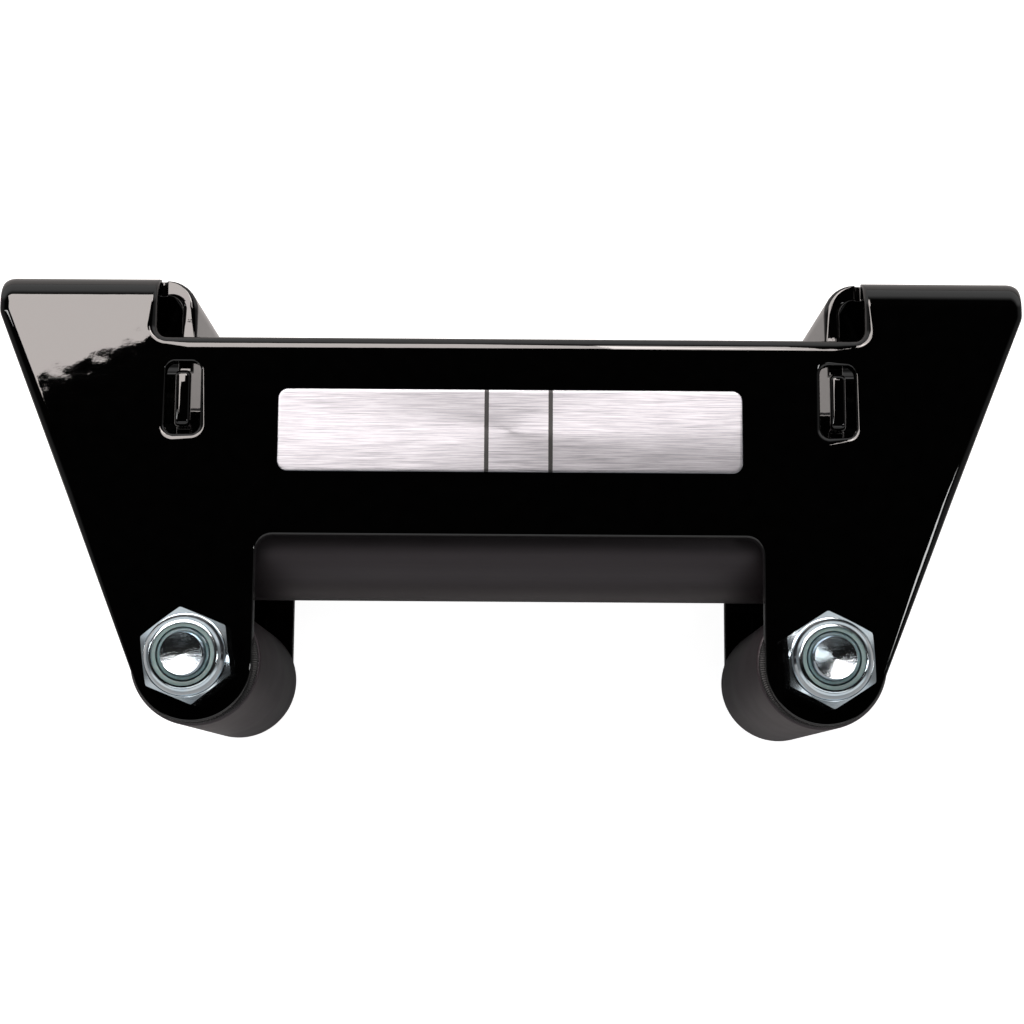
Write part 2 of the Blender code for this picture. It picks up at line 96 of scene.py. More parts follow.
# %% Helpers for materials
def linear(colour):
    """An sRGB hex colour as the linear red, green, blue and alpha that shaders use."""
    srgb = np.array([int(colour[place:place + 2], 16) for place in (1, 3, 5)]) / 255
    bright = ((srgb + 0.055) / 1.055) ** 2.4
    return (*np.where(srgb <= 0.04045, srgb / 12.92, bright).tolist(), 1.0)


def feed(tree, node, links):
    """Links an output to each of the node's sockets that is named."""
    for socket, source in links.items():
        tree.links.new(source, node.inputs[socket])


def put(tree, kind, values=None, links=None, **settings):
    """Adds a node: settings are its own options, values fill its sockets and links feed them. Sockets are
    named, or numbered where a node has several of one name: a colour mix has 0, 6 and 7."""
    made = tree.nodes.new(kind)
    for option, choice in settings.items():
        setattr(made, option, choice)
    for socket, value in (values or {}).items():
        made.inputs[socket].default_value = value
    feed(tree, made, links or {})
    return made


def start_finish(name, values):
    """A new material, its node tree, its shader and the object's own coordinates in metres."""
    material = bpy.data.materials.new(name)
    material.use_nodes = True
    tree = material.node_tree
    shader = tree.nodes["Principled BSDF"]
    for socket, value in values.items():
        shader.inputs[socket].default_value = value
    place = put(tree, "ShaderNodeTexCoord").outputs["Object"]
    return material, tree, shader, place


print("the sRGB mid grey is", round(linear("#808080")[0], 3), "in linear light")

# %% [markdown]
# Nearly every small piece here is round, so its surface is a profile carried round an axis. A surface is
# worked out as one array of points on a grid, row by row along the profile and column by column round it.
# Real edges are never sharp: each corner of a profile is first rounded by a short curve, and the thin line
# of light on it is what tells the eye that this is a made thing.

# %% Helpers for surfaces
SHARP_EDGE = radians(34)        # folds steeper than this stay sharp when a piece is shaded smooth
MERGE = 1e-7                    # points closer than this are one point
SOFT_STEPS = 4                  # points on the curve that rounds a corner
DIRECTIONS = {"Z": np.eye(3), "X": np.roll(np.eye(3), -1, axis=0)}      # across, over and along each axis


def finish_mesh(name, bm):
    """A smooth object from mesh data, with its doubles merged and its faces pointing outwards."""
    bmesh.ops.remove_doubles(bm, verts=bm.verts, dist=MERGE)
    bmesh.ops.recalc_face_normals(bm, faces=bm.faces)
    mesh = bpy.data.meshes.new(name)
    bm.to_mesh(mesh)
    bm.free()
    mesh.shade_smooth()
    mesh.set_sharp_from_angle(angle=SHARP_EDGE)
    piece = bpy.data.objects.new(name, mesh)
    bpy.context.scene.collection.objects.link(piece)
    return piece


def grid_faces(rows, columns, close_rows=False):
    """Faces over a grid of points, four neighbours each. The columns close into a ring."""
    index = np.arange(rows * columns).reshape(rows, columns)
    index = np.hstack([index, index[:, :1]])
    if close_rows:
        index = np.vstack([index, index[:1]])
    return np.stack([index[:-1, :-1], index[:-1, 1:], index[1:, 1:], index[1:, :-1]], axis=-1).reshape(-1, 4)


def surface(name, points, close_rows=False):
    """A mesh over a grid of points. A row that shrinks to one point becomes a closed pole."""
    shell = bpy.data.meshes.new(name + "_grid")
    faces = grid_faces(*points.shape[:2], close_rows)
    shell.from_pydata(points.reshape(-1, 3).tolist(), [], faces.tolist())
    bm = bmesh.new()
    bm.from_mesh(shell)
    bpy.data.meshes.remove(shell)
    return finish_mesh(name, bm)


def soften(corners, reach, closed=True):
    """Rounds the corners of an outline: corner C becomes (1-t)^2 A + 2t(1-t) C + t^2 B, where A and B lie
    the reach before and after it, or halfway along an edge that is too short for that."""
    corners = np.asarray(corners, float)
    back = np.roll(corners, 1, axis=0) - corners
    ahead = np.roll(corners, -1, axis=0) - corners
    ends = [corners + step * np.minimum(reach / np.linalg.norm(step, axis=1, keepdims=True), 0.5)
            for step in (back, ahead)]
    t = np.linspace(0, 1, SOFT_STEPS)[None, :, None]
    curve = (1 - t) ** 2 * ends[0][:, None] + 2 * t * (1 - t) * corners[:, None] + t ** 2 * ends[1][:, None]
    if not closed:
        curve[[0, -1]] = corners[[0, -1], None]
    return curve.reshape(-1, 2)


def carried_round(radius, height, angle, centre, axis):
    """Points at radius * (cos a, sin a) across the axis and at a height along it, from whole arrays."""
    across, over, along = DIRECTIONS[axis]
    radius, height, angle = np.broadcast_arrays(radius, height, angle)
    flat = radius[..., None] * (np.cos(angle)[..., None] * across + np.sin(angle)[..., None] * over)
    return np.asarray(centre) + flat + height[..., None] * along


def turned(name, profile, centre, axis="Z", sides=96):
    """A closed profile of (radius, height) pairs carried round an axis."""
    angle = np.linspace(0, 2 * pi, sides, endpoint=False)[None, :]
    points = carried_round(profile[:, :1], profile[:, 1:], angle, centre, axis)
    return surface(name, points, close_rows=True)


def stand_for(piece, node, material):
    """The piece takes a CAD node's place: it moves with that node's body and wears the slot's finish."""
    piece.data.materials.append(material)
    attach(piece, frame["nodes"][node]["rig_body"])
    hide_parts(node)
    print(piece.name, "stands for", node, "with", len(piece.data.polygons), "faces")


def measure(node):
    """Middle and size of a CAD node, as arrays."""
    low, high = (np.array(corner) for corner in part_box(node))
    return (low + high) / 2, high - low


print("a softened square has", len(soften([(0, 0), (1, 0), (1, 1), (0, 1)], 0.1)), "points")

# %% [markdown]
# The frame is folded steel with a baked powder coat. The powder melts and flows, so the coat is a thick,
# glossy, slightly wavy film, called orange peel: waves a few millimetres long bend each reflection's edge.
# The film is opaque, so it needs no clear layer over a base: a nearly black colour with a low roughness
# gives the gloss, and a bump of two noise textures gives the waves, long ones that make islands in a
# reflection, and fine ones that fray its edge.

# %% Powder coat
PEEL_WAVE = 0.0042              # metres between the long waves
PEEL_RISE = 0.000015            # their height
GRAIN_WAVE = 0.0005             # metres between the fine ones
GRAIN_RISE = 0.0000014


def gloss_powder_coat():
    """Near black, with both noises as bumps one on the other. The long waves also vary the gloss."""
    material, tree, shader, place = start_finish("gloss_black_powder_coat", {"IOR": 1.55})
    peel = put(tree, "ShaderNodeTexNoise", {"Scale": 1 / PEEL_WAVE, "Detail": 0},
               {"Vector": place}).outputs["Fac"]
    grain = put(tree, "ShaderNodeTexNoise", {"Scale": 1 / GRAIN_WAVE, "Detail": 1.0},
                {"Vector": place}).outputs["Fac"]
    waves = put(tree, "ShaderNodeBump", {"Distance": PEEL_RISE}, {"Height": peel})
    frayed = put(tree, "ShaderNodeBump", {"Distance": GRAIN_RISE},
                 {"Height": grain, "Normal": waves.outputs["Normal"]})
    gloss = put(tree, "ShaderNodeMapRange", {"To Min": 0.008, "To Max": 0.022}, {"Value": peel})
    black = put(tree, "ShaderNodeMix", {6: linear("#010101"), 7: linear("#020202")}, {0: peel},
                data_type="RGBA")
    feed(tree, shader, {"Base Color": black.outputs[2], "Roughness": gloss.outputs["Result"],
                        "Normal": frayed.outputs["Normal"]})
    return material


powder_coat = gloss_powder_coat()
print("made", powder_coat.name)

# %% [markdown]
# The frame starts as one flat blank, as on the real one. Its cut edges are the outer outline, the outline of
# the window with its two flaps, and some holes. On the blank, x runs across the frame and w up the web and on
# along a flange, or down and along the other one. The outlines are corners with a radius, and each corner
# also says how wide the rolled edge is there. Punching rolls an edge over and the coat rounds it, so the wide
# edges of the flanges turn down over more than two millimetres, and this catches the light in the picture.

# %% Sizes of the blank
SHEET = 0.0045
BEND_OUTSIDE = 0.0089           # outer radius of a flange's bend
FLAP_OUTSIDE = 0.0089           # and of a flap's bend
FLAP_ROOT = 0.1027              # x where a flap starts to bend out of the web
WIDE_ROLL = 0.0036              # width of the rolled edge at the back of the flanges
THIN_ROLL = 0.0010              # round the legs and the cutout
SIDE_ROLL = 0.0044              # and in the middle of a tapered side, where it is widest
FLAP_ROLL = 0.0018              # of a flap's free edges
FINE_ROLL = 0.0008              # of tabs and holes
ROLL_DEPTH = 0.52               # depth of a rolled edge as a share of its width
FULL_DEPTH = 1.25               # the same round the window, where the edge is ground round
INNER_SHARE = 0.45              # width of the inner face's round as a share of the rolled edge's
FULL_INNER = 2.7                # depth of that round for its width, round the window
DEEPEST_ROLL = SHEET * 0.58     # the most that a rolled edge takes of the sheet's thickness
DEEPEST_ROUND = SHEET * 0.38    # and the most that the inner face's round takes
ARC_STEP = radians(9)
LONGEST_STEP = 0.006            # on a side that lies across a bend or runs along the sheet
BEND_PARTS = 10

frame_low, frame_high = (np.array(corner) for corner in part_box("frame"))
FACE = frame_high[1]
MIDDLE = (frame_low[2] + frame_high[2]) / 2
TOP = (frame_high[2] - frame_low[2]) / 2
HALF_WIDTH = frame_high[0]
WEB_HALF = TOP - BEND_OUTSIDE
BEND_LENGTH = (BEND_OUTSIDE - SHEET / 2) * pi / 2
FLAP_BEND_LENGTH = (FLAP_OUTSIDE - SHEET / 2) * pi / 2
FLANGE_START = WEB_HALF + BEND_LENGTH - BEND_OUTSIDE    # w of a flange point less its forward distance
FLAP_START = FLAP_ROOT - FLAP_BEND_LENGTH + FLAP_OUTSIDE    # x of a flap point plus its forward distance
print("the web is flat up to", round(WEB_HALF * 1000, 1), "mm from its middle")

# %% [markdown]
# An outline is drawn as a pattern maker does it, with straight lines and the arcs that touch them. A polygon
# with a bevel would give the same corners, but here each point also carries the width of its rolled edge, and
# long sides get a point wherever they cross a bend line, so that the fold bends them cleanly.

# %% Outlines
LEAST_SHARE = 1e-4              # a crossing nearer than this to a side's end is that end
TINY = 1e-9                     # stands for zero where it would be divided by
HOLE_SIDES = 40


def rounded_outline(corners):
    """Points and roll widths round a closed outline. A corner (x, w, radius, roll) becomes an arc that
    touches both sides, and a long side is cut into steps."""
    place = np.array([corner[:2] for corner in corners])
    radius, roll = np.array([corner[2:] for corner in corners]).T
    back = np.roll(place, 1, axis=0) - place
    ahead = np.roll(place, -1, axis=0) - place
    back /= np.linalg.norm(back, axis=1, keepdims=True)
    ahead /= np.linalg.norm(ahead, axis=1, keepdims=True)
    points, rolls = [], []
    for here, size, width, to_last, to_next in zip(place, radius, roll, back, ahead):
        half = np.arccos(np.clip(to_last @ to_next, -1, 1)) / 2
        turn = pi - 2 * half
        middle = (to_last + to_next) / max(np.linalg.norm(to_last + to_next), TINY)
        centre = here + middle * size / sin(half)
        spoke = here + to_last * size / tan(half) - centre
        way = -1 if to_last[0] * to_next[1] - to_last[1] * to_next[0] > 0 else 1
        steps = max(1, round(turn / ARC_STEP)) if size > 0 else 0
        angle = way * turn * np.arange(steps + 1) / max(steps, 1)
        arc = np.stack([np.cos(angle) * spoke[0] - np.sin(angle) * spoke[1],
                        np.sin(angle) * spoke[0] + np.cos(angle) * spoke[1]], axis=1) + centre
        points.append(arc)
        rolls.append(np.full(len(arc), width))
    return filled(np.vstack(points), np.concatenate(rolls))


def crossings(start, end):
    """Shares of a side at which it passes a bend line or has run one more longest step."""
    length = np.linalg.norm(end - start)
    shares = [np.arange(1, int(length / LONGEST_STEP) + 1) / (int(length / LONGEST_STEP) + 1)]
    for axis, lines in ((1, FLANGE_BENDS), (0, FLAP_BENDS)):
        in_reach = min(abs(start[0]), abs(end[0])) > FLAP_ROOT if axis == 1 else abs(start[1]) < WEB_HALF
        if in_reach and abs(end[axis] - start[axis]) > MERGE * 10:
            shares.append((lines - start[axis]) / (end[axis] - start[axis]))
    shares = np.unique(np.concatenate(shares).round(7))
    return shares[(shares > LEAST_SHARE) & (shares < 1 - LEAST_SHARE)]


def filled(points, rolls):
    """The outline with extra points along its long sides and where it crosses a bend."""
    out_points, out_rolls = [], []
    for index in range(len(points)):
        start, end = points[index], points[(index + 1) % len(points)]
        if np.linalg.norm(end - start) < MERGE:
            continue
        share = np.concatenate([[0], crossings(start, end)])[:, None]
        out_points.append(start + share * (end - start))
        out_rolls.append(rolls[index] + share[:, 0] * (rolls[(index + 1) % len(points)] - rolls[index]))
    return np.vstack(out_points), np.concatenate(out_rolls)


def circle_outline(x, w, radius, roll):
    """Points at the radius times (cos a, sin a) from (x, w), all with the same roll width."""
    angle = -np.linspace(0, 2 * pi, HOLE_SIDES, endpoint=False)
    points = np.stack([x + radius * np.cos(angle), w + radius * np.sin(angle)], axis=1)
    return points, np.full(HOLE_SIDES, roll)


bend_share = np.linspace(0, 1, BEND_PARTS + 1)
flap_lines = FLAP_ROOT - FLAP_BEND_LENGTH * bend_share
FLANGE_BENDS = np.concatenate([-WEB_HALF - BEND_LENGTH * bend_share, WEB_HALF + BEND_LENGTH * bend_share])
FLAP_BENDS = np.concatenate([-flap_lines, flap_lines])
print("bend lines:", len(FLANGE_BENDS), "along the flanges and", len(FLAP_BENDS), "at the flaps")

# %% [markdown]
# The outer outline runs round both ears and all four legs. A flange's slanted side is the tangent from the
# ear's corner to the round end of the leg, so it needs no angle of its own, and the other half of the flange
# and the other flange are mirror images.

# %% Outer outline
UPRIGHT_X = 0.091
UPRIGHT_FORWARD = 0.1138        # of the bolts, ahead of the mounting face
LEG_END = 0.0172                # radius of a leg's round end
LEG_AHEAD = 0.0010              # of its centre, ahead of the bolt
EAR_SIDE = 0.0117
EAR_CORNER = 0.0050
CUTOUT_FORWARD = 0.0777
CUTOUT_CORNER = 0.0050
LEG_STEP = radians(6)


def flange_half():
    """Corners of one half of a flange's front, from the ear inwards to the cutout, at (x, forward). The
    tangent from the ear to the leg's circle leaves the line between them by the arc sine of the circle's
    radius over their distance."""
    leg = np.array([UPRIGHT_X, UPRIGHT_FORWARD + LEG_AHEAD])
    ear = np.array([HALF_WIDTH, EAR_SIDE])
    reach = leg - ear
    distance = np.hypot(*reach)
    side = np.arctan2(reach[1], reach[0]) - np.arcsin(LEG_END / distance)
    first = side - pi / 2
    angle = np.linspace(first, pi, round((pi - first) / LEG_STEP) + 1)
    end = leg + LEG_END * np.stack([np.cos(angle), np.sin(angle)], axis=1)
    corners = [(*ear, EAR_CORNER, WIDE_ROLL), (*(ear + end[0]) / 2, 0, SIDE_ROLL)]
    corners += [(*point, 0, THIN_ROLL) for point in end]
    return corners + [(leg[0] - LEG_END, CUTOUT_FORWARD, CUTOUT_CORNER, THIN_ROLL)]


def outer_outline():
    """Half a flange, its mirror image in x, and the mirror image of both in w, one after the other."""
    half = [(x, forward + FLANGE_START, radius, roll) for x, forward, radius, roll in flange_half()]
    upper = half + [(-x, w, radius, roll) for x, w, radius, roll in reversed(half)]
    lower = [(-x, -w, radius, roll) for x, w, radius, roll in upper]
    return rounded_outline(upper + lower)


outer = outer_outline()
print("the outer outline has", len(outer[0]), "points")

# %% [markdown]
# The window is punched out of the same blank, and what is left at its sides are the two flaps. The outline
# runs along a flange's notch, round a small relief hole that keeps the sheet from tearing when the flap is
# bent, along the flap's root, round the tab that sits in the flange's slot, and over the flap's free edge.

# %% Window outline
NOTCH_DEPTH = 0.0188
NOTCH_CORNER = 0.0032
NOTCH_EASE = 3 * NOTCH_CORNER   # length over which the notch's wide edge narrows towards its corner
NOTCH_SIDE = 0.1044
NOTCH_ROLL = 0.0026             # width of the rolled edge at the notch's corner
RELIEF = 0.0014                 # half the size of the relief hole
RELIEF_CORNER = RELIEF * 0.9
RELIEF_ROLL = 0.00025
STEP_CORNER = 0.0016
TAB_FOOT = 0.0004
FLAP_REACH = 0.0890
FLAP_CORNER = 0.0090
ROOT_HALF = 0.0466
FLAP_HALF = 0.0510
TAB_START = 0.0288
TAB_LENGTH = 0.0170
TAB_HALF = TOP - 0.0007
TAB_CORNER = 0.0020
TAB_ROLL = 0.0014


def window_quarter():
    """Corners of the window from the middle of a notch round the right flap's upper half to its tip."""
    tab = FLAP_START - TAB_START
    far = tab - TAB_LENGTH
    step = FLAP_START - NOTCH_DEPTH
    notch = FLANGE_START + NOTCH_DEPTH
    return [(NOTCH_SIDE - NOTCH_EASE, notch, 0, WIDE_ROLL), (NOTCH_SIDE, notch, NOTCH_CORNER, NOTCH_ROLL),
            (NOTCH_SIDE, ROOT_HALF + RELIEF, 0, RELIEF_ROLL),
            (NOTCH_SIDE + RELIEF, ROOT_HALF + RELIEF, RELIEF_CORNER, RELIEF_ROLL),
            (NOTCH_SIDE + RELIEF, ROOT_HALF - RELIEF, RELIEF_CORNER, RELIEF_ROLL),
            (NOTCH_SIDE - RELIEF, ROOT_HALF - RELIEF, RELIEF_CORNER, RELIEF_ROLL),
            (NOTCH_SIDE - RELIEF, ROOT_HALF, 0, RELIEF_ROLL),
            ((NOTCH_SIDE + step) / 2, ROOT_HALF, 0, FLAP_ROLL),
            (step, ROOT_HALF, STEP_CORNER, FINE_ROLL), (step, FLAP_HALF, STEP_CORNER, FINE_ROLL),
            (tab, FLAP_HALF, TAB_FOOT, FINE_ROLL), (tab, TAB_HALF, TAB_CORNER, TAB_ROLL),
            (far, TAB_HALF, TAB_CORNER, TAB_ROLL), (far, FLAP_HALF, TAB_FOOT, FINE_ROLL),
            (FLAP_START - FLAP_REACH, FLAP_HALF, FLAP_CORNER, FLAP_ROLL)]


def window_outline():
    """The quarter, its mirror image in w, and the mirror image of both in x, one after the other."""
    quarter = window_quarter()
    right = quarter + [(x, -w, radius, roll) for x, w, radius, roll in reversed(quarter)]
    return rounded_outline(right + [(-x, -w, radius, roll) for x, w, radius, roll in right])


window = window_outline()
print("the window's outline has", len(window[0]), "points")

# %% [markdown]
# The holes are cut in the flat blank too: two slots in each flange for the flaps' tabs, round holes for the
# bolts and the pins, and a level slot in each ear for mounting. Boolean cuts through the folded frame would
# do as well, but this way each hole gets the same kind of rolled edge as every other outline.

# %% Holes
SLOT_X = 0.09605
SLOT_FORWARD = 0.0373
SLOT_SIZE = (0.0105, 0.0216)
SLOT_CORNER = 0.0028
SLOT_ROLLS = {-1: (0.0009, 0.0020, 0.0016, 0.0009),     # at the left slot's four corners, back left first
              1: (0.0024, 0.0026, 0.0014, 0.0009)}      # and at the right slot's
BOLT_HOLE = 0.0084
PIN_HOLE = 0.00675
EAR_SLOT_X = 0.127
EAR_SLOT = (0.021, 0.014)
EAR_SLOT_CORNER = EAR_SLOT[1] / 2 - 1e-5    # a hair less than half, so that the two arcs don't meet
HOLE_ROLL = 0.0012


def slot(x, w, size, radius, rolls):
    """A rounded rectangle about (x, w), with a roll for each corner as the signs of x and w go round."""
    around = ((-1, -1), (-1, 1), (1, 1), (1, -1))
    return rounded_outline([(x + across * size[0] / 2, w + along * size[1] / 2, radius, roll)
                            for (across, along), roll in zip(around, rolls)])


def holes():
    """Outlines of all holes. A hole in a flange or flap lies at its forward distance, turned into the w or x
    that the bend brings there."""
    found = []
    for side in (-1, 1):
        for way in (-1, 1):
            rolls = SLOT_ROLLS[side] if way > 0 else np.roll(SLOT_ROLLS[side][::-1], 2)
            found.append(slot(side * SLOT_X, way * (SLOT_FORWARD + FLANGE_START), SLOT_SIZE, SLOT_CORNER,
                              rolls))
            found.append(circle_outline(side * UPRIGHT_X, way * (UPRIGHT_FORWARD + FLANGE_START), BOLT_HOLE,
                                        FINE_ROLL))
        for level in ("upper", "lower"):
            centre = measure("pin_" + level)[0]
            found.append(circle_outline(side * (FLAP_START - FACE + centre[1]), centre[2] - MIDDLE, PIN_HOLE,
                                        FINE_ROLL))
        found.append(slot(side * EAR_SLOT_X, 0, EAR_SLOT, EAR_SLOT_CORNER, [HOLE_ROLL] * 4))
    return found


openings = holes()
print("the blank has", len(openings), "holes")

# %% [markdown]
# Folding is a map from the blank to space. A point in a bend of radius r and turned share f lies at
# (r sin f, r cos f) from the bend's centre line, and beyond the bend it carries on straight along the
# flange or flap. The depth below the outer face shortens r. The same function gives the directions of x, w
# and depth after folding, and with those each corner's normal is exact, so the flats mirror as flats.

# %% Fold
def folded(x, w, depth):
    """Place and directions (of x, w and depth) of blank points after both kinds of bend, as arrays."""
    x, w, depth = np.broadcast_arrays(x, w, depth)
    zero, one = np.zeros_like(x), np.ones_like(x)
    up = np.sign(w)
    turn = np.clip((np.abs(w) - WEB_HALF) / BEND_LENGTH, 0, 1) * pi / 2
    on = np.maximum(np.abs(w) - WEB_HALF - BEND_LENGTH, 0)
    radius = BEND_OUTSIDE - depth
    flat = np.minimum(np.abs(w), WEB_HALF)
    flange = np.stack([x, FACE - BEND_OUTSIDE + radius * np.cos(turn) - on,
                       MIDDLE + up * (flat + radius * np.sin(turn))], axis=-1)
    flange_w = np.stack([zero, -np.sin(turn), up * np.cos(turn)], axis=-1) * up[..., None]
    flange_depth = np.stack([zero, -np.cos(turn), -up * np.sin(turn)], axis=-1)
    side = np.sign(x)
    curl = np.clip((FLAP_ROOT - np.abs(x)) / FLAP_BEND_LENGTH, 0, 1) * pi / 2
    on = np.maximum(FLAP_ROOT - np.abs(x) - FLAP_BEND_LENGTH, 0)
    radius = FLAP_OUTSIDE - depth
    flap = np.stack([side * (FLAP_ROOT - radius * np.sin(curl)),
                     FACE - FLAP_OUTSIDE + radius * np.cos(curl) - on, MIDDLE + w], axis=-1)
    flap_x = np.stack([np.cos(curl), side * np.sin(curl), zero], axis=-1)
    flap_depth = np.stack([side * np.sin(curl), -np.cos(curl), zero], axis=-1)
    is_flap = ((np.abs(x) < FLAP_ROOT) & (np.abs(w) < TOP))[..., None]
    along = np.stack([one, zero, zero], axis=-1)
    rise = np.stack([zero, zero, one], axis=-1)
    return (np.where(is_flap, flap, flange), np.where(is_flap, flap_x, along),
            np.where(is_flap, rise, flange_w), np.where(is_flap, flap_depth, flange_depth))


cutout_edge = folded(np.zeros(1), np.array([CUTOUT_FORWARD + FLANGE_START]), 0.0)[0][0]
print("the upper cutout's edge folds to", tuple(cutout_edge.round(4).tolist()))

# %% [markdown]
# Round every cut edge a profile is carried: a quarter of an ellipse from the outer face, the sheared wall,
# and a small round to the inner face. The two faces between the edges are filled with triangles by
# Delaunay's rule, with lines of points along every bend so that no triangle spans it.

# %% Edges and faces of the sheet
ROLL_ROWS = 9                   # points on the quarter ellipse
ROUND_ROWS = 4                  # and on the inner face's round
LEAST_COSINE = 0.4              # of half the sharpest turn at which an inset is lengthened in full


def edge_profile(roll, shares):
    """Inset, depth and normal (inwards, down) of the edge's rows for each roll width. The shares say how
    deep both rounds are for their widths."""
    turn = np.linspace(0, pi / 2, ROLL_ROWS)[:, None]
    tall = np.minimum(roll * shares[0], DEEPEST_ROLL)
    inset = [roll * (1 - np.sin(turn))]
    depth = [tall * (1 - np.cos(turn))]
    lean = np.stack([-np.sin(turn) / roll, -np.cos(turn) / tall], axis=-1)
    turn = np.linspace(0, pi / 2, ROUND_ROWS)[:, None]
    inner = INNER_SHARE * roll
    short = np.minimum(inner * shares[1], DEEPEST_ROUND)
    inset.append(inner * (1 - np.cos(turn)))
    depth.append(SHEET - short * (1 - np.sin(turn)))
    under = np.stack([-np.cos(turn) / inner, np.sin(turn) / short], axis=-1)
    normal = np.vstack([lean, under])
    return np.vstack(inset), np.vstack(depth), normal / np.linalg.norm(normal, axis=-1, keepdims=True)


def inwards(points, inside):
    """Unit vectors into the sheet at the points of an outline, and how much a corner lengthens an inset."""
    step = np.roll(points, -1, axis=0) - points
    step /= np.linalg.norm(step, axis=1, keepdims=True)
    normal = np.stack([-step[:, 1], step[:, 0]], axis=1) * inside
    both = normal + np.roll(normal, 1, axis=0)
    both /= np.linalg.norm(both, axis=1, keepdims=True)
    return both, 1 / np.maximum((both * normal).sum(1), LEAST_COSINE)


def turning(points):
    """1 where an outline runs anticlockwise, otherwise -1, from the sign of its area."""
    after = np.roll(points, -1, axis=0)
    return np.sign((points[:, 0] * after[:, 1] - points[:, 1] * after[:, 0]).sum())


def edge_strip(points, roll, is_outer=False, shares=(ROLL_DEPTH, 1)):
    """Places, normals and faces of the profile carried round an outline, and the rims of both faces."""
    inside = turning(points) * (1 if is_outer else -1)
    way, longer = inwards(points, inside)
    inset, depth, lean = edge_profile(roll[None, :], shares)
    flat = points + (inset * longer)[..., None] * way
    place, along, rise, down = folded(flat[..., 0], flat[..., 1], depth)
    normal = lean[..., :1] * (way[:, :1] * along + way[:, 1:] * rise) + lean[..., 1:] * down
    return place.reshape(-1, 3), normal.reshape(-1, 3), grid_faces(*inset.shape), flat[0], flat[-1]


def within(places, outlines):
    """True where a point lies inside an odd number of outlines: the crossings of a ray to the right."""
    inside = np.zeros(len(places), bool)
    for outline in outlines:
        after = np.roll(outline, -1, axis=0)
        across = (outline[:, 1] > places[:, 1:]) != (after[:, 1] > places[:, 1:])
        rise = np.where(after[:, 1] == outline[:, 1], TINY, after[:, 1] - outline[:, 1])
        meet = outline[:, 0] + (places[:, 1:] - outline[:, 1]) / rise * (after[:, 0] - outline[:, 0])
        inside ^= (np.sum(across & (places[:, :1] < meet), axis=1) % 2).astype(bool)
    return inside


def filled_face(rims, depth):
    """Triangles over one face of the blank, between the rims, with points along every bend line."""
    corners, edges = [], []
    for rim in rims:
        first = sum(len(part) for part in corners)
        order = first + np.arange(len(rim))
        corners.append(rim)
        edges.append(np.stack([order, np.roll(order, -1)], axis=1))
    for w in FLANGE_BENDS:
        for side in (-1, 1):
            first = sum(len(part) for part in corners)
            corners.append(np.array([(side * FLAP_ROOT, w), (side * (HALF_WIDTH + SHEET), w)]))
            edges.append(np.array([(first, first + 1)]))
    for x in FLAP_BENDS:
        first = sum(len(part) for part in corners)
        corners.append(np.array([(x, -TOP), (x, TOP)]))
        edges.append(np.array([(first, first + 1)]))
    made = delaunay_2d_cdt([Vector(corner) for corner in np.vstack(corners)], np.vstack(edges).tolist(),
                           [], 0, MERGE)
    flat = np.array([tuple(corner) for corner in made[0]])
    triangles = np.array(made[2])
    triangles = triangles[within(flat[triangles].mean(axis=1), rims)]
    used, triangles = np.unique(triangles, return_inverse=True)
    place, along, rise, down = folded(*flat[used].T, depth)
    return place, (down if depth > 0 else -down), triangles.reshape(-1, 3)


print("an edge has", ROLL_ROWS + ROUND_ROWS, "rows of points across it")

# %% [markdown]
# The edge strips and the two faces are joined at their rims into one closed sheet. Smooth shading alone would
# average the directions of neighbouring faces and so blur the flats, so the exact normals from the fold are
# carried along as an attribute and set on the joined mesh.

# %% Folded frame
RIM_MERGE = 2e-6                # the rims of strips and faces are the same points, worked out twice


def facing_out(faces, place, normal):
    """The faces with their corners in the order that makes each face look the way its normals do."""
    across = np.cross(place[faces[:, 2]] - place[faces[:, 0]], place[faces[:, -1]] - place[faces[:, 1]])
    wrong = (across * normal[faces].mean(axis=1)).sum(axis=1) < 0
    faces[wrong] = faces[wrong, ::-1]
    return faces


def folded_sheet(name):
    """Strips and faces put one after the other into one mesh, joined at the rims, with their own normals."""
    strips = [edge_strip(*outer, is_outer=True), edge_strip(*window, shares=(FULL_DEPTH, FULL_INNER))]
    strips += [edge_strip(*opening) for opening in openings]
    parts = [strip[:3] for strip in strips]
    parts.append(filled_face([strip[3] for strip in strips], 0.0))
    parts.append(filled_face([strip[4] for strip in strips], SHEET))
    place = np.vstack([part[0] for part in parts])
    normal = np.vstack([part[1] for part in parts])
    starts = np.cumsum([0] + [len(part[0]) for part in parts[:-1]])
    faces = [face for start, part in zip(starts, parts)
             for face in facing_out(part[2] + start, place, normal).tolist()]
    shell = bpy.data.meshes.new(name + "_loose")
    shell.from_pydata(place.tolist(), [], faces)
    kept = shell.attributes.new("true_normal", "FLOAT_VECTOR", "POINT")
    kept.data.foreach_set("vector", normal.ravel())
    bm = bmesh.new()
    bm.from_mesh(shell)
    bpy.data.meshes.remove(shell)
    bmesh.ops.remove_doubles(bm, verts=bm.verts, dist=RIM_MERGE)
    mesh = bpy.data.meshes.new(name)
    bm.to_mesh(mesh)
    bm.free()
    mesh.shade_smooth()
    true_normal = np.empty(len(mesh.vertices) * 3)
    mesh.attributes["true_normal"].data.foreach_get("vector", true_normal)
    mesh.normals_split_custom_set_from_vertices(true_normal.reshape(-1, 3))
    mesh.attributes.remove(mesh.attributes["true_normal"])
    piece = bpy.data.objects.new(name, mesh)
    bpy.context.scene.collection.objects.link(piece)
    return piece


folded_frame = folded_sheet("folded_frame")
stand_for(folded_frame, "frame", powder_coat)

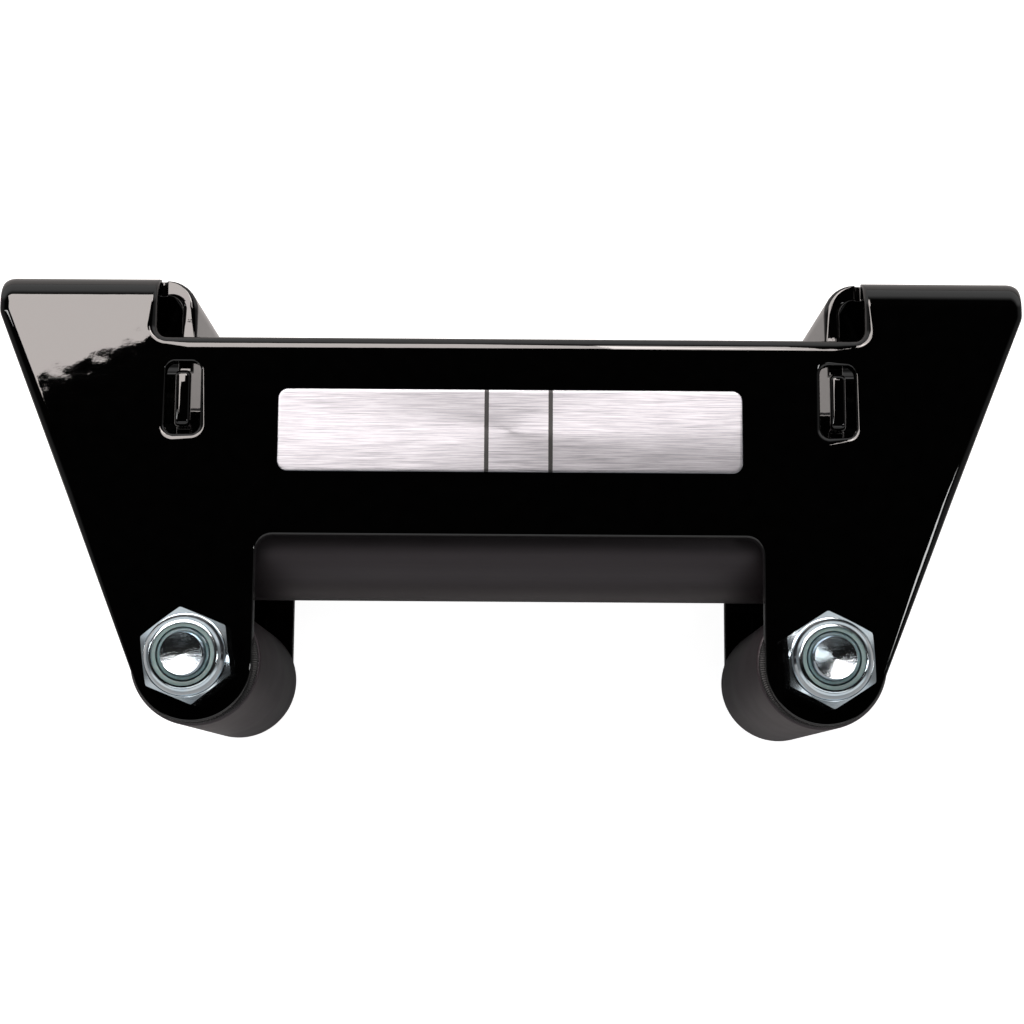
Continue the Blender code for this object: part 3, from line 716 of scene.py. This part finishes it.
# %% [markdown]
# The rollers are steel tubes with a thin satin black coat. Rubbing and wiping along the tube leave fine
# streaks, so the noise is stretched: its coordinates are squeezed along the roller and left fine across it.
# The level rollers get a darker copy of the same coat: its colour is painted shade for the upper flange's
# shadow.

# %% Satin coat
STREAK_WIDTH = 0.0009
STREAK_LENGTH = 0.045
SCRATCH_RISE = 0.000012
CLOUDS = 60                     # dull and clear patches in a metre


def satin_coat(name, along, dark, pale):
    """Streaks along one axis in the colour and the bump, and soft clouds in the roughness."""
    material, tree, shader, place = start_finish(name, {"IOR": 1.5, "Specular Tint": (1.0, 0.93, 0.98, 1.0)})
    squeeze = [1 / STREAK_WIDTH] * 3
    squeeze[along] = 1 / STREAK_LENGTH
    stretched = put(tree, "ShaderNodeMapping", {"Scale": squeeze}, {"Vector": place})
    streak = put(tree, "ShaderNodeTexNoise", {"Scale": 1.0, "Detail": 3.0},
                 {"Vector": stretched.outputs["Vector"]}).outputs["Fac"]
    cloud = put(tree, "ShaderNodeTexNoise", {"Scale": CLOUDS, "Detail": 2.0}, {"Vector": place})
    dull = put(tree, "ShaderNodeMapRange", {"To Min": 0.34, "To Max": 0.46}, {"Value": cloud.outputs["Fac"]})
    scratch = put(tree, "ShaderNodeBump", {"Distance": SCRATCH_RISE}, {"Height": streak})
    worn = put(tree, "ShaderNodeMix", {6: linear(dark), 7: linear(pale)}, {0: streak}, data_type="RGBA")
    feed(tree, shader, {"Base Color": worn.outputs[2], "Roughness": dull.outputs["Result"],
                        "Normal": scratch.outputs["Normal"]})
    return material


upright_coat = satin_coat("satin_black_coat_upright", 2, "#241e21", "#332d30")
# the level rollers' coat is painted darker than the upright rollers' coat: painted shade under the upper
# flange
shaded_level_coat = satin_coat("satin_black_coat_level_painted_shade", 0, "#0e0a0c", "#181315")
print("made", upright_coat.name, "and", shaded_level_coat.name)

# %% [markdown]
# A roller is a tube: its profile is a long rectangle between the bore and the outer face, with rounded
# corners, carried round the roller's axis. A cylinder with a bevel would look the same from outside, but the
# profile gives the bore and both ends in the same step.

# %% Rollers
ROLLER_WALL = 0.0032
ROLLER_EDGE = 0.0009
ROLLER_SIDES = 144
ROLLERS = {"upright_roller_left": "Z", "upright_roller_right": "Z",
           "level_roller_upper": "X", "level_roller_lower": "X"}


def roller(node, axis):
    """A rectangle from the bore to the outer radius, as long as the node, carried round its axis."""
    centre, size = measure(node)
    along = "XYZ".index(axis)
    radius, half = size[1 - along % 2] / 2, size[along] / 2
    inner = radius - ROLLER_WALL
    outline = soften([(inner, -half), (radius, -half), (radius, half), (inner, half)], ROLLER_EDGE)
    # the level rollers wear the darker copy, whose colour is painted shade
    coat = upright_coat if axis == "Z" else shaded_level_coat
    tube = turned(node + "_tube", outline, centre, axis, ROLLER_SIDES)
    stand_for(tube, node, coat)


for node, axis in ROLLERS.items():
    roller(node, axis)

# %% [markdown]
# Each roller end holds a moulded plastic bushing with a flange. Its rim is finely toothed, about 170 teeth
# round. A tooth could be copied round the rim, but a small wave in the profile's radius and height as the
# angle turns gives the same in one surface.

# %% Bushings
TEETH = 170
STEPS_PER_TOOTH = 4
TOOTH_DEPTH = 0.00022
TOOTH_REACH = 0.0025            # how far the teeth fade in from the rim
RUNNING = 0.0003                # gap between a bore and its shaft
BUSHING_FLANGE = 0.0014
SEAT = 0.0003                   # gap between pieces that sit on each other
BUSHING_EDGE = 0.0004
SPECK = 0.0008                  # metres between the specks in the plastic
PORE_DEPTH = 0.00001


def grained_finish(name, values, wave, detail, dark, pale, dulls, rise=None):
    """A finish with one noise, whose bumps lie a wave apart. It mixes both colours, spreads the roughness
    over the dulls and, where a rise is given, lifts the surface by that much."""
    material, tree, shader, place = start_finish(name, values)
    grain = put(tree, "ShaderNodeTexNoise", {"Scale": 1 / wave, "Detail": detail},
                {"Vector": place}).outputs["Fac"]
    dull = put(tree, "ShaderNodeMapRange", {"To Min": dulls[0], "To Max": dulls[1]}, {"Value": grain})
    tint = put(tree, "ShaderNodeMix", {6: linear(dark), 7: linear(pale)}, {0: grain}, data_type="RGBA")
    feed(tree, shader, {"Base Color": tint.outputs[2], "Roughness": dull.outputs["Result"]})
    if rise:
        bumps = put(tree, "ShaderNodeBump", {"Distance": rise}, {"Height": grain})
        feed(tree, shader, {"Normal": bumps.outputs["Normal"]})
    return material


nylon = grained_finish("moulded_black_nylon", {"IOR": 1.53}, SPECK, 2, "#0b0b0c", "#141314", (0.38, 0.55),
                       PORE_DEPTH)


def bushing(node, axis, roller_node, shaft_radius):
    """The profile lies beside the roller's end: flange outside, hub inside, bore round the shaft."""
    centre, size = measure(node)
    roller_centre, roller_size = measure(roller_node)
    along = "XYZ".index(axis)
    outwards = 1 if centre[along] > roller_centre[along] else -1
    half, length = size[along] / 2, size[along]
    rim = size[1 - along % 2] / 2
    hub = roller_size[1 - along % 2] / 2 - ROLLER_WALL - SEAT
    bore = shaft_radius + RUNNING
    outline = soften([(bore, half), (rim, half), (rim, half - BUSHING_FLANGE), (hub, half - BUSHING_FLANGE),
                      (hub, half - length), (bore, half - length)], BUSHING_EDGE)
    angle = np.linspace(0, 2 * pi, TEETH * STEPS_PER_TOOTH, endpoint=False)[None, :]
    wave = 0.5 - 0.5 * np.cos(TEETH * angle)
    near_rim = np.clip((outline[:, :1] - rim + TOOTH_REACH) / TOOTH_REACH, 0, 1)
    radius = outline[:, :1] - TOOTH_DEPTH * wave * near_rim
    on_face = outline[:, 1:] > half - BUSHING_EDGE
    height = (outline[:, 1:] - TOOTH_DEPTH * wave * near_rim * on_face) * outwards
    points = carried_round(radius, height, angle, centre, axis)
    stand_for(surface(node + "_toothed", points, close_rows=True), node, nylon)


BOLT_RADIUS = 0.008
PIN_RADIUS = 0.00635
for node, axis in ROLLERS.items():
    shaft_radius = BOLT_RADIUS if axis == "Z" else PIN_RADIUS
    for end in ("a", "b"):
        bushing(f"{node}_bushing_{end}", axis, node, shaft_radius)

# %% [markdown]
# The bolts and lock nuts are steel with a bright zinc plating: a metal with a slightly blue tint. The
# plating follows the rolled and pressed steel under it, so its reflections are mottled and broken. A bump of
# noise at about a millimetre breaks them, the tint drifts between a warm and a blue grey, and the cut end of
# a bolt has finer and deeper pits.

# %% Bright zinc
MOTTLE = 0.0009                 # metres between the bumps on the sides
MOTTLE_RISE = 0.000012
PITTING = 0.00045               # and between the pits on a bolt's cut end
PIT_RISE = 0.00007
DRIFT = 0.004                   # metres over which the tint and the dullness change


def bright_zinc(name, rise, apart):
    """Bumps that lie apart and rise by the given lengths, and a slow drift of tint and dullness."""
    material, tree, shader, place = start_finish(name, {"Metallic": 1.0})
    mottle = put(tree, "ShaderNodeTexNoise", {"Scale": 1 / apart, "Detail": 3.0, "Roughness": 0.6},
                 {"Vector": place})
    drift = put(tree, "ShaderNodeTexNoise", {"Scale": 1 / DRIFT, "Detail": 2.0},
                {"Vector": place}).outputs["Fac"]
    dull = put(tree, "ShaderNodeMapRange", {"To Min": 0.08, "To Max": 0.2}, {"Value": drift})
    pits = put(tree, "ShaderNodeBump", {"Distance": rise}, {"Height": mottle.outputs["Fac"]})
    tint = put(tree, "ShaderNodeMix", {6: linear("#bccdda"), 7: linear("#dadfe0")}, {0: drift},
               data_type="RGBA")
    feed(tree, shader, {"Base Color": tint.outputs[2], "Roughness": dull.outputs["Result"],
                        "Normal": pits.outputs["Normal"]})
    return material


zinc = bright_zinc("bright_zinc_plating", MOTTLE_RISE, MOTTLE)
pitted_zinc = bright_zinc("bright_zinc_on_cut_end", PIT_RISE, PITTING)
print("made", zinc.name, "and", pitted_zinc.name)

# %% [markdown]
# A hexagon has a formula too: at angle a its side lies at half the width over flats divided by the cosine
# of the angle to the nearest flat. Summing all six cosines to a high power does that smoothly, and softens
# the corners a little as pressing does. A cone cuts the corners: beyond the flat ring the face falls away.

# %% Hexagons
HEX_FLATS = 0.0242
HEX_RING = 0.0233               # across the flat ring inside the chamfer
HEX_CHAMFER = tan(radians(28))
HEX_SHARPNESS = 90
HEX_TURN = {"left": radians(8), "right": radians(3)}
HEX_COLUMNS = 180
FACE_ROWS = 9


def hex_radius(angle, turn):
    """Radius of a hexagon at an angle: half its width over the largest cosine to its six flats."""
    flats = np.maximum(np.cos(angle[..., None] - turn - np.arange(6) * pi / 3), 0)
    return HEX_FLATS / 2 / (flats ** HEX_SHARPNESS).sum(-1) ** (1 / HEX_SHARPNESS)


def hex_face(inner, level, fall, turn, angle):
    """Rows of a hexagonal face from an inner radius out to its side, falling away beyond the flat ring."""
    share = np.linspace(0, 1, FACE_ROWS)[:, None]
    radius = inner + share * (hex_radius(angle, turn) - inner)
    return radius, level + fall * np.maximum(radius - HEX_RING / 2, 0) * HEX_CHAMFER


def stack(*parts):
    """Rows of radius and height from several parts, each filled out to the full number of columns."""
    full = [[np.broadcast_to(np.asarray(half, float).reshape(-1, 1) if np.ndim(half) < 2 else half,
                             (len(half), HEX_COLUMNS)) for half in part] for part in parts]
    return np.vstack([part[0] for part in full]), np.vstack([part[1] for part in full])


corner = hex_radius(np.array([pi / 6]), 0)[0]
print("a hexagon is", round(2000 * corner, 1), "mm over its softened corners")

# %% [markdown]
# A lock nut is a hexagon with a domed collar pressed over a ring of nylon, which grips the thread so that the
# nut can't work loose. The nut is one surface: up the hexagon's sides, over the dome, down its throat to the
# ring's seat and down the bore. The pale ring is a turned piece of its own that shows round the bolt's end.

# %% Lock nuts
NUT_HEX = 0.0118                # height of the hexagon
NUT_LIP = 0.0009
NUT_COLLAR = 0.0115             # radius of the collar
NUT_COLLAR_WALL = 0.0010
DOME_ROWS = 14
THROAT_DROP = (0.0001, 0.0002)  # how far in and down the dome's rim turns into the throat
INSERT_HEIGHT = 0.0030
INSERT_EDGE = 0.0003
NYLON_LIP = 0.0007              # how far the ring closes in again over the end of the thread
CLOUD = 0.002                   # metres between paler patches in the nylon

insert_nylon = grained_finish("pale_green_nylon", {"IOR": 1.53, "Subsurface Weight": 0.15,
                                                   "Subsurface Scale": 0.001},
                              CLOUD, 2, "#5f7677", "#7f9190", (0.3, 0.45))


def lock_nut(side):
    """Rows from the bore out over the hexagon's lower face, up its side and in over the upper face, along a
    quarter of an ellipse for the dome, and down the throat. The ring is a small profile turned by itself."""
    node = "lock_nut_" + side
    low, high = (np.array(corner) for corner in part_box(node))
    centre = np.array([(low[0] + high[0]) / 2, (low[1] + high[1]) / 2, low[2]])
    centre[:2] = measure("bolt_" + side)[0][:2]
    top = high[2] - low[2]
    angle = np.linspace(0, 2 * pi, HEX_COLUMNS, endpoint=False)[None, :]
    turn = HEX_TURN[side]
    bore, lip = BOLT_RADIUS + RUNNING, BOLT_RADIUS + NUT_LIP
    floor = NUT_HEX + SEAT
    roof = floor + INSERT_HEIGHT + 2 * SEAT
    cavity = NUT_COLLAR - NUT_COLLAR_WALL
    t = np.linspace(0, pi / 2, DOME_ROWS)
    dome = lip + (NUT_COLLAR - lip) * np.cos(t), floor + (top - floor) * np.sin(t)
    throat = np.array([(lip - THROAT_DROP[0], top - THROAT_DROP[1]), (lip, roof), (cavity - NUT_LIP, roof),
                       (cavity, floor), (bore, floor), (bore, 0)]).T
    low_face = hex_face(bore, 0, 1, turn, angle)
    high_face = [half[::-1] for half in hex_face(NUT_COLLAR, NUT_HEX, -1, turn, angle)]
    radius, height = stack(low_face, high_face, dome, throat)
    nut = surface(node + "_domed", carried_round(radius, height, angle, centre, "Z"), close_rows=True)
    stand_for(nut, node, zinc)
    insert = measure(node + "_insert")[1]
    outer = insert[0] / 2
    low = floor + SEAT
    high = low + INSERT_HEIGHT
    ring = soften([(bore, low), (outer, low), (outer, high), (bore - NYLON_LIP, high),
                   (bore - NYLON_LIP / 2, high - NYLON_LIP), (bore, high - 2 * NYLON_LIP)], INSERT_EDGE)
    stand_for(turned(node + "_ring", ring, centre), node + "_insert", insert_nylon)


for side in HEX_TURN:
    lock_nut(side)

# %% [markdown]
# A thread is a groove that climbs as it turns. Its radius depends on one number only: the height less the
# pitch times the turned share of a circle. What is left after whole pitches says where between two crests
# a point lies. The end of the bolt has a cone cut on it and a face that is slightly hollow and pitted. A bump
# could only pretend these grooves, and they show at the outline where the bolt stands out of its nut.

# %% Bolts
PITCH = 0.0020
CREST = 0.2                     # share of half the pitch that stays flat on a crest, and the same in a root
THREAD_DEPTH = 0.0010
THREAD_LENGTH = 0.024
ROW_STEP = 0.0002
END_RADIUS = 0.0059
END_SLOPE = 0.46                # how fast the cone on the end widens downwards
END_DISH = 0.0011               # depth of the hollow in the end
END_CURVE = 1.3                 # 1 would make the hollow a cone and 2 a bowl
END_ROWS = 12


def thread_radius(height, angle, start, end):
    """Bolt radius less the groove, which deepens from the start and is cut by a cone at the end."""
    between = np.abs(2 * np.mod(height / PITCH - angle / (2 * pi), 1) - 1)
    groove = np.clip((between - CREST) / (1 - 2 * CREST), 0, 1) * np.clip((height - start) / PITCH, 0, 1)
    return np.minimum(BOLT_RADIUS - THREAD_DEPTH * groove, END_RADIUS + END_SLOPE * (end - height))


def bolt(side):
    """Rows from the middle of the head's underside round the hexagon to the shaft, up the thread and in over
    the end, which is hollow by the dish less its share of the radius to the power of the curve."""
    node = "bolt_" + side
    low, high = (np.array(corner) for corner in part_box(node))
    centre = measure("upright_roller_" + side)[0]
    centre[2] = 0
    angle = np.linspace(0, 2 * pi, HEX_COLUMNS, endpoint=False)[None, :]
    turn = HEX_TURN[side]
    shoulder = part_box("frame")[0][2] - SEAT
    end = high[2]
    start = end - THREAD_LENGTH
    low_face = hex_face(0, low[2], 1, turn, angle)
    high_face = [half[::-1] for half in hex_face(BOLT_RADIUS, shoulder, 0, turn, angle)]
    rows = np.arange(start, end, ROW_STEP)[:, None]
    thread = thread_radius(rows, angle, start, end), rows
    face_radius = np.linspace(END_RADIUS, 0, END_ROWS)
    hollow = end - END_DISH * (1 - (face_radius / END_RADIUS) ** END_CURVE)
    radius, height = stack(low_face, high_face, thread, (face_radius, hollow))
    shaft = surface(node + "_threaded", carried_round(radius, height, angle, centre, "Z"))
    stand_for(shaft, node, zinc)
    shaft.data.materials.append(pitted_zinc)
    ends = np.empty(len(shaft.data.polygons) * 3)
    shaft.data.polygons.foreach_get("center", ends)
    apart = np.hypot(ends[0::3] - centre[0], ends[1::3] - centre[1])
    on_end = (ends[2::3] > end - 2 * END_DISH) & (apart < END_RADIUS)
    shaft.data.polygons.foreach_set("material_index", on_end.astype(int))


for side in HEX_TURN:
    bolt(side)

# %% [markdown]
# The level rollers turn on plain pins. A pin is a rod with a groove near each end, and a flat spring clip
# in each groove keeps it in the frame. The pins are bright drawn steel with fine lines round them, and the
# clips are dark phosphated spring steel.

# %% Pins and clips
GROOVE_DEPTH = 0.0013
GROOVE_PLAY = 0.0001            # on each side of a clip in its groove
PIN_END = 0.0009                # the cut corner at a pin's end
PIN_EDGE = 0.0002
CLIP_EDGE = 0.00018
CLIP_FOLD = radians(50)         # only folds steeper than this are rounded
LINE_WIDTH = 0.0003
LINE_LENGTH = 0.02
LINE_RISE = 0.000004
CRYSTAL = 0.0005                # metres between the dull patches of phosphate


def drawn_steel():
    """One noise squeezed along the pin, so that its lines run round it, in tint, dullness and bump."""
    material, tree, shader, place = start_finish("drawn_steel", {"Metallic": 1.0})
    squeezed = put(tree, "ShaderNodeMapping", {"Scale": (1 / LINE_WIDTH, 1 / LINE_LENGTH, 1 / LINE_LENGTH)},
                   {"Vector": place})
    lines = put(tree, "ShaderNodeTexNoise", {"Scale": 1.0, "Detail": 2.0},
                {"Vector": squeezed.outputs["Vector"]}).outputs["Fac"]
    dull = put(tree, "ShaderNodeMapRange", {"To Min": 0.22, "To Max": 0.38}, {"Value": lines})
    scratch = put(tree, "ShaderNodeBump", {"Distance": LINE_RISE}, {"Height": lines})
    steel = put(tree, "ShaderNodeMix", {6: linear("#a9adb0"), 7: linear("#c3c5c6")}, {0: lines},
                data_type="RGBA")
    feed(tree, shader, {"Base Color": steel.outputs[2], "Roughness": dull.outputs["Result"],
                        "Normal": scratch.outputs["Normal"]})
    return material


pin_steel = drawn_steel()
clip_steel = grained_finish("phosphated_spring_steel", {"Metallic": 1.0}, CRYSTAL, 3, "#3a3b3d", "#55575a",
                            (0.35, 0.55))


def pin(level):
    """Half a rod's profile with a groove where the right clip sits, its mirror image, carried round x."""
    node = "pin_" + level
    centre, size = measure(node)
    half = size[0] / 2
    core = PIN_RADIUS - GROOVE_DEPTH
    clip_centre, clip_size = measure(f"clip_{level}_right")
    middle = clip_centre[0] - centre[0]
    width = clip_size[0] / 2 + GROOVE_PLAY
    right = [(PIN_RADIUS, middle - width), (core, middle - width), (core, middle + width),
             (PIN_RADIUS, middle + width), (PIN_RADIUS, half - PIN_END), (PIN_RADIUS - PIN_END, half),
             (0, half)]
    left = [(radius, -height) for radius, height in reversed(right)]
    outline = soften(left + right, PIN_EDGE, closed=False)
    stand_for(turned(node + "_rod", outline, centre, "X"), node, pin_steel)


def merged_copy(node, name):
    """A copy of a CAD node with the corners of its loose triangles joined."""
    bm = bmesh.new()
    bm.from_mesh(frame["nodes"][node].data)
    return finish_mesh(name, bm)


def clip(level, side):
    """The node's own shape, with its edges rounded by a bevel of two steps."""
    node = f"clip_{level}_{side}"
    piece = merged_copy(node, node + "_spring")
    edge = piece.modifiers.new("rolled_edge", "BEVEL")
    edge.width = CLIP_EDGE
    edge.segments = 2
    edge.limit_method = "ANGLE"
    edge.angle_limit = CLIP_FOLD
    stand_for(piece, node, clip_steel)


for level in ("upper", "lower"):
    pin(level)
    for side in ("left", "right"):
        clip(level, side)

# %% [markdown]
# The plate is a thin strip of brushed aluminium stuck to the upper flange, left bare but for two dark
# painted bars. Brushing leaves fine straight lines along the plate, some light and some dark. They are a
# noise squeezed to a third of a millimetre across and stretched to centimetres along, in the tint, the
# roughness and the bump. Its edge is sheared, so it is turned down by a small curve all round.

# %% Plate
PLATE_CORNER = 0.0030
PLATE_EDGE = 0.00025
PLATE_MARGIN = 0.001            # how far the profile reaches in under and over the plate
PLATE_STEPS = 64
BRUSH_WIDTH = 0.00028
BRUSH_LENGTH = 0.012
BRUSH_DEPTH = 0.00001
BAR_PLACES = (-0.0069, 0.0118)
BAR_HALF_WIDTH = 0.00065


def brushed_aluminium():
    """One stretched noise in tint, dullness and bump, and dark bars where x is near one of their places."""
    material, tree, shader, place = start_finish("brushed_aluminium", {"Metallic": 1.0, "Anisotropic": 0.6})
    lengthways = (1 / BRUSH_LENGTH, 1 / BRUSH_WIDTH, 1 / BRUSH_WIDTH)
    stretched = put(tree, "ShaderNodeMapping", {"Scale": lengthways}, {"Vector": place})
    brush = put(tree, "ShaderNodeTexNoise", {"Scale": 1.0, "Detail": 4.0, "Roughness": 0.65},
                {"Vector": stretched.outputs["Vector"]}).outputs["Fac"]
    lines = put(tree, "ShaderNodeMapRange", {"From Min": 0.3, "From Max": 0.7}, {"Value": brush})
    metal = put(tree, "ShaderNodeMix", {6: linear("#838489"), 7: linear("#bdbdc3")},
                {0: lines.outputs["Result"]}, data_type="RGBA")
    apart = put(tree, "ShaderNodeSeparateXYZ", links={"Vector": place}).outputs["X"]
    bars = [put(tree, "ShaderNodeMath", {1: middle, 2: BAR_HALF_WIDTH}, {0: apart}, operation="COMPARE")
            for middle in BAR_PLACES]
    painted = put(tree, "ShaderNodeMath", None, {0: bars[0].outputs[0], 1: bars[1].outputs[0]},
                  operation="ADD").outputs[0]
    coloured = put(tree, "ShaderNodeMix", {7: linear("#0b0b0b")}, {0: painted, 6: metal.outputs[2]},
                   data_type="RGBA")
    bare = put(tree, "ShaderNodeMath", {0: 1.0}, {1: painted}, operation="SUBTRACT")
    dull = put(tree, "ShaderNodeMapRange", {"To Min": 0.36, "To Max": 0.5}, {"Value": brush})
    groove = put(tree, "ShaderNodeBump", {"Distance": BRUSH_DEPTH}, {"Height": brush})
    feed(tree, shader, {"Base Color": coloured.outputs[2], "Metallic": bare.outputs[0],
                        "Roughness": dull.outputs["Result"], "Normal": groove.outputs["Normal"]})
    return material


def plate(node):
    """Rows are the same rounded rectangle, drawn in by an inset as the height rises over the edge."""
    centre, size = measure(node)
    low, high = -size[2] / 2, size[2] / 2
    inset, height = soften([(PLATE_MARGIN, low), (0, low), (0, high), (PLATE_MARGIN, high)],
                           PLATE_EDGE, closed=False).T[:, :, None]
    turn = np.linspace(0, 2 * pi, PLATE_STEPS, endpoint=False)[None, :] + pi / PLATE_STEPS
    half = [size[side] / 2 - PLATE_CORNER for side in (0, 1)]
    x = np.sign(np.cos(turn)) * half[0] + (PLATE_CORNER - inset) * np.cos(turn)
    y = np.sign(np.sin(turn)) * half[1] + (PLATE_CORNER - inset) * np.sin(turn)
    rings = np.stack(np.broadcast_arrays(x, y, height), axis=-1)
    poles = [np.zeros_like(rings[:1]) + (0, 0, level) for level in (low, high)]
    points = np.vstack([poles[0], rings, poles[1]]) + centre
    stand_for(surface("bare_plate", points), node, brushed_aluminium())


plate("label_plate")

# %% [markdown]
# The object stands on a wide white table. White that fills the picture would drown the object in light, so
# the table and the sky are lifted to white only for what the eye sees directly, and the table still darkens
# where the object keeps the light away.

# %% Table
TABLE_SIZE = 4.0
TABLE_LIFT = 0.93
FIBRES = 400                    # light and dark specks of the paper in a metre


def white_table():
    """Matt paper white that also glows by the lift, but only in rays that come straight from the eye."""
    material, tree, shader, place = start_finish("matt_white_table", {"Roughness": 0.9})
    seen = put(tree, "ShaderNodeLightPath").outputs["Is Camera Ray"]
    lift = put(tree, "ShaderNodeMath", {1: TABLE_LIFT}, {0: seen}, operation="MULTIPLY")
    fibre = put(tree, "ShaderNodeTexNoise", {"Scale": FIBRES}, {"Vector": place})
    paper = put(tree, "ShaderNodeMix", {6: linear("#b0b0b0"), 7: linear("#b6b6b6")},
                {0: fibre.outputs["Fac"]}, data_type="RGBA")
    shader.inputs["Emission Color"].default_value = (1, 1, 1, 1)
    feed(tree, shader, {"Base Color": paper.outputs[2], "Emission Strength": lift.outputs[0]})
    return material


corners = np.array([(-1, -1), (1, -1), (1, 1), (-1, 1)]) * TABLE_SIZE / 2
table_mesh = bpy.data.meshes.new("table")
table_mesh.from_pydata([(x, y, 0) for x, y in corners.tolist()], [], [(0, 1, 2, 3)])
table = bpy.data.objects.new("table", table_mesh)
bpy.context.scene.collection.objects.link(table)
table.data.materials.append(white_table())
print("the table is", TABLE_SIZE, "m wide, at height 0")

# %% [markdown]
# A gloss black thing is lit by what it mirrors. Its upper flange looks back at the ceiling near the camera,
# so that must be dark, while edges and folds look further out, where it must be bright. The sky is a bright
# band above the horizon, dim to the left and right, that falls to black overhead. It is worked out from the
# direction alone, so it needs no picture of a room.

# %% Sky
BAND_TOP = sin(radians(24))     # the sine of a height above the horizon is a direction's z
BAND_END = sin(radians(47))
BAND_STRENGTH = 0.85
CEILING = 0.004
SIDE_STRENGTH = 0.25            # what is left of the band to the left and right
SIDE_START, SIDE_END = 0.5, 0.25        # a direction's y where the band starts to fall off and where it has

world = bpy.data.worlds.new("studio")
bpy.context.scene.world = world
world.use_nodes = True
sky = world.node_tree
direction = put(sky, "ShaderNodeTexCoord").outputs["Generated"]
parts = put(sky, "ShaderNodeSeparateXYZ", links={"Vector": direction}).outputs
band = put(sky, "ShaderNodeMapRange", {"From Min": BAND_TOP, "From Max": BAND_END, "To Min": BAND_STRENGTH,
                                       "To Max": CEILING}, {"Value": parts["Z"]},
           interpolation_type="SMOOTHSTEP")
steep = put(sky, "ShaderNodeMath", None, {0: parts["Y"]}, operation="ABSOLUTE")
ahead = put(sky, "ShaderNodeMapRange", {"From Min": SIDE_END, "From Max": SIDE_START, "To Min": SIDE_STRENGTH,
                                        "To Max": 1.0}, {"Value": steep.outputs[0]},
            interpolation_type="SMOOTHSTEP")
glow = put(sky, "ShaderNodeMath", None, {0: band.outputs["Result"], 1: ahead.outputs["Result"]},
           operation="MULTIPLY")
looking = put(sky, "ShaderNodeLightPath").outputs["Is Camera Ray"]
strength = put(sky, "ShaderNodeMath", None, {0: glow.outputs[0], 1: looking}, operation="MAXIMUM")
background = sky.nodes["Background"]
background.inputs["Color"].default_value = (1, 1, 1, 1)
feed(sky, background, {"Strength": strength.outputs[0]})
print("the sky's band fades between z", round(BAND_TOP, 2), "and", round(BAND_END, 2))

# %% [markdown]
# Five soft boxes stand where the picture shows their reflections. A large one behind and to the left gives
# the pale patch on the left ear and, with a smaller one beside it, the white line along the back. A dim one
# in front lights the sides that face it, a small strong one at the right draws the streak on the right leg,
# and a narrow one far to the left draws a thin line. An area lamp's reflection has a crisp border, which a
# patch of light painted on the sky could have only with a much finer sky.

# %% Soft boxes
def soft_box(name, place, size, radiance, turn=0, aim=(0, 0, -1), tint="#ffffff"):
    """A rectangular lamp. Each bit of it shines with the radiance, so its power grows with its area."""
    light = bpy.data.lights.new(name, "AREA")
    light.shape = "RECTANGLE"
    light.size, light.size_y = size
    light.energy = radiance * pi * size[0] * size[1]
    light.color = linear(tint)[:3]
    lamp = bpy.data.objects.new(name, light)
    bpy.context.scene.collection.objects.link(lamp)
    facing = Vector(aim).to_track_quat("-Z", "Y").to_matrix()
    lamp.rotation_euler = (Matrix.Rotation(turn, 3, "Z") @ facing).to_euler()
    lamp.location = place
    lamp.visible_camera = False
    print(name, "power", round(light.energy, 2))


WARM = "#fff6f2"
soft_box("soft_box_back", (-0.33, 0.79, 1.30), (0.96, 0.85), 10, turn=radians(23.5), tint=WARM)
soft_box("soft_box_back_right", (0.195, 0.78, 1.29), (0.21, 0.74), 10, tint=WARM)
soft_box("soft_box_front", (0, -1.00, 1.30), (1.60, 0.50), 1.3)
soft_box("soft_box_right", (0.75, -0.058, 1.00), (0.08, 0.30), 12, aim=(-0.75, -0.05, -0.92))
soft_box("soft_box_far_left", (-0.95, 0.19, 1.00), (0.50, 0.04), 9)
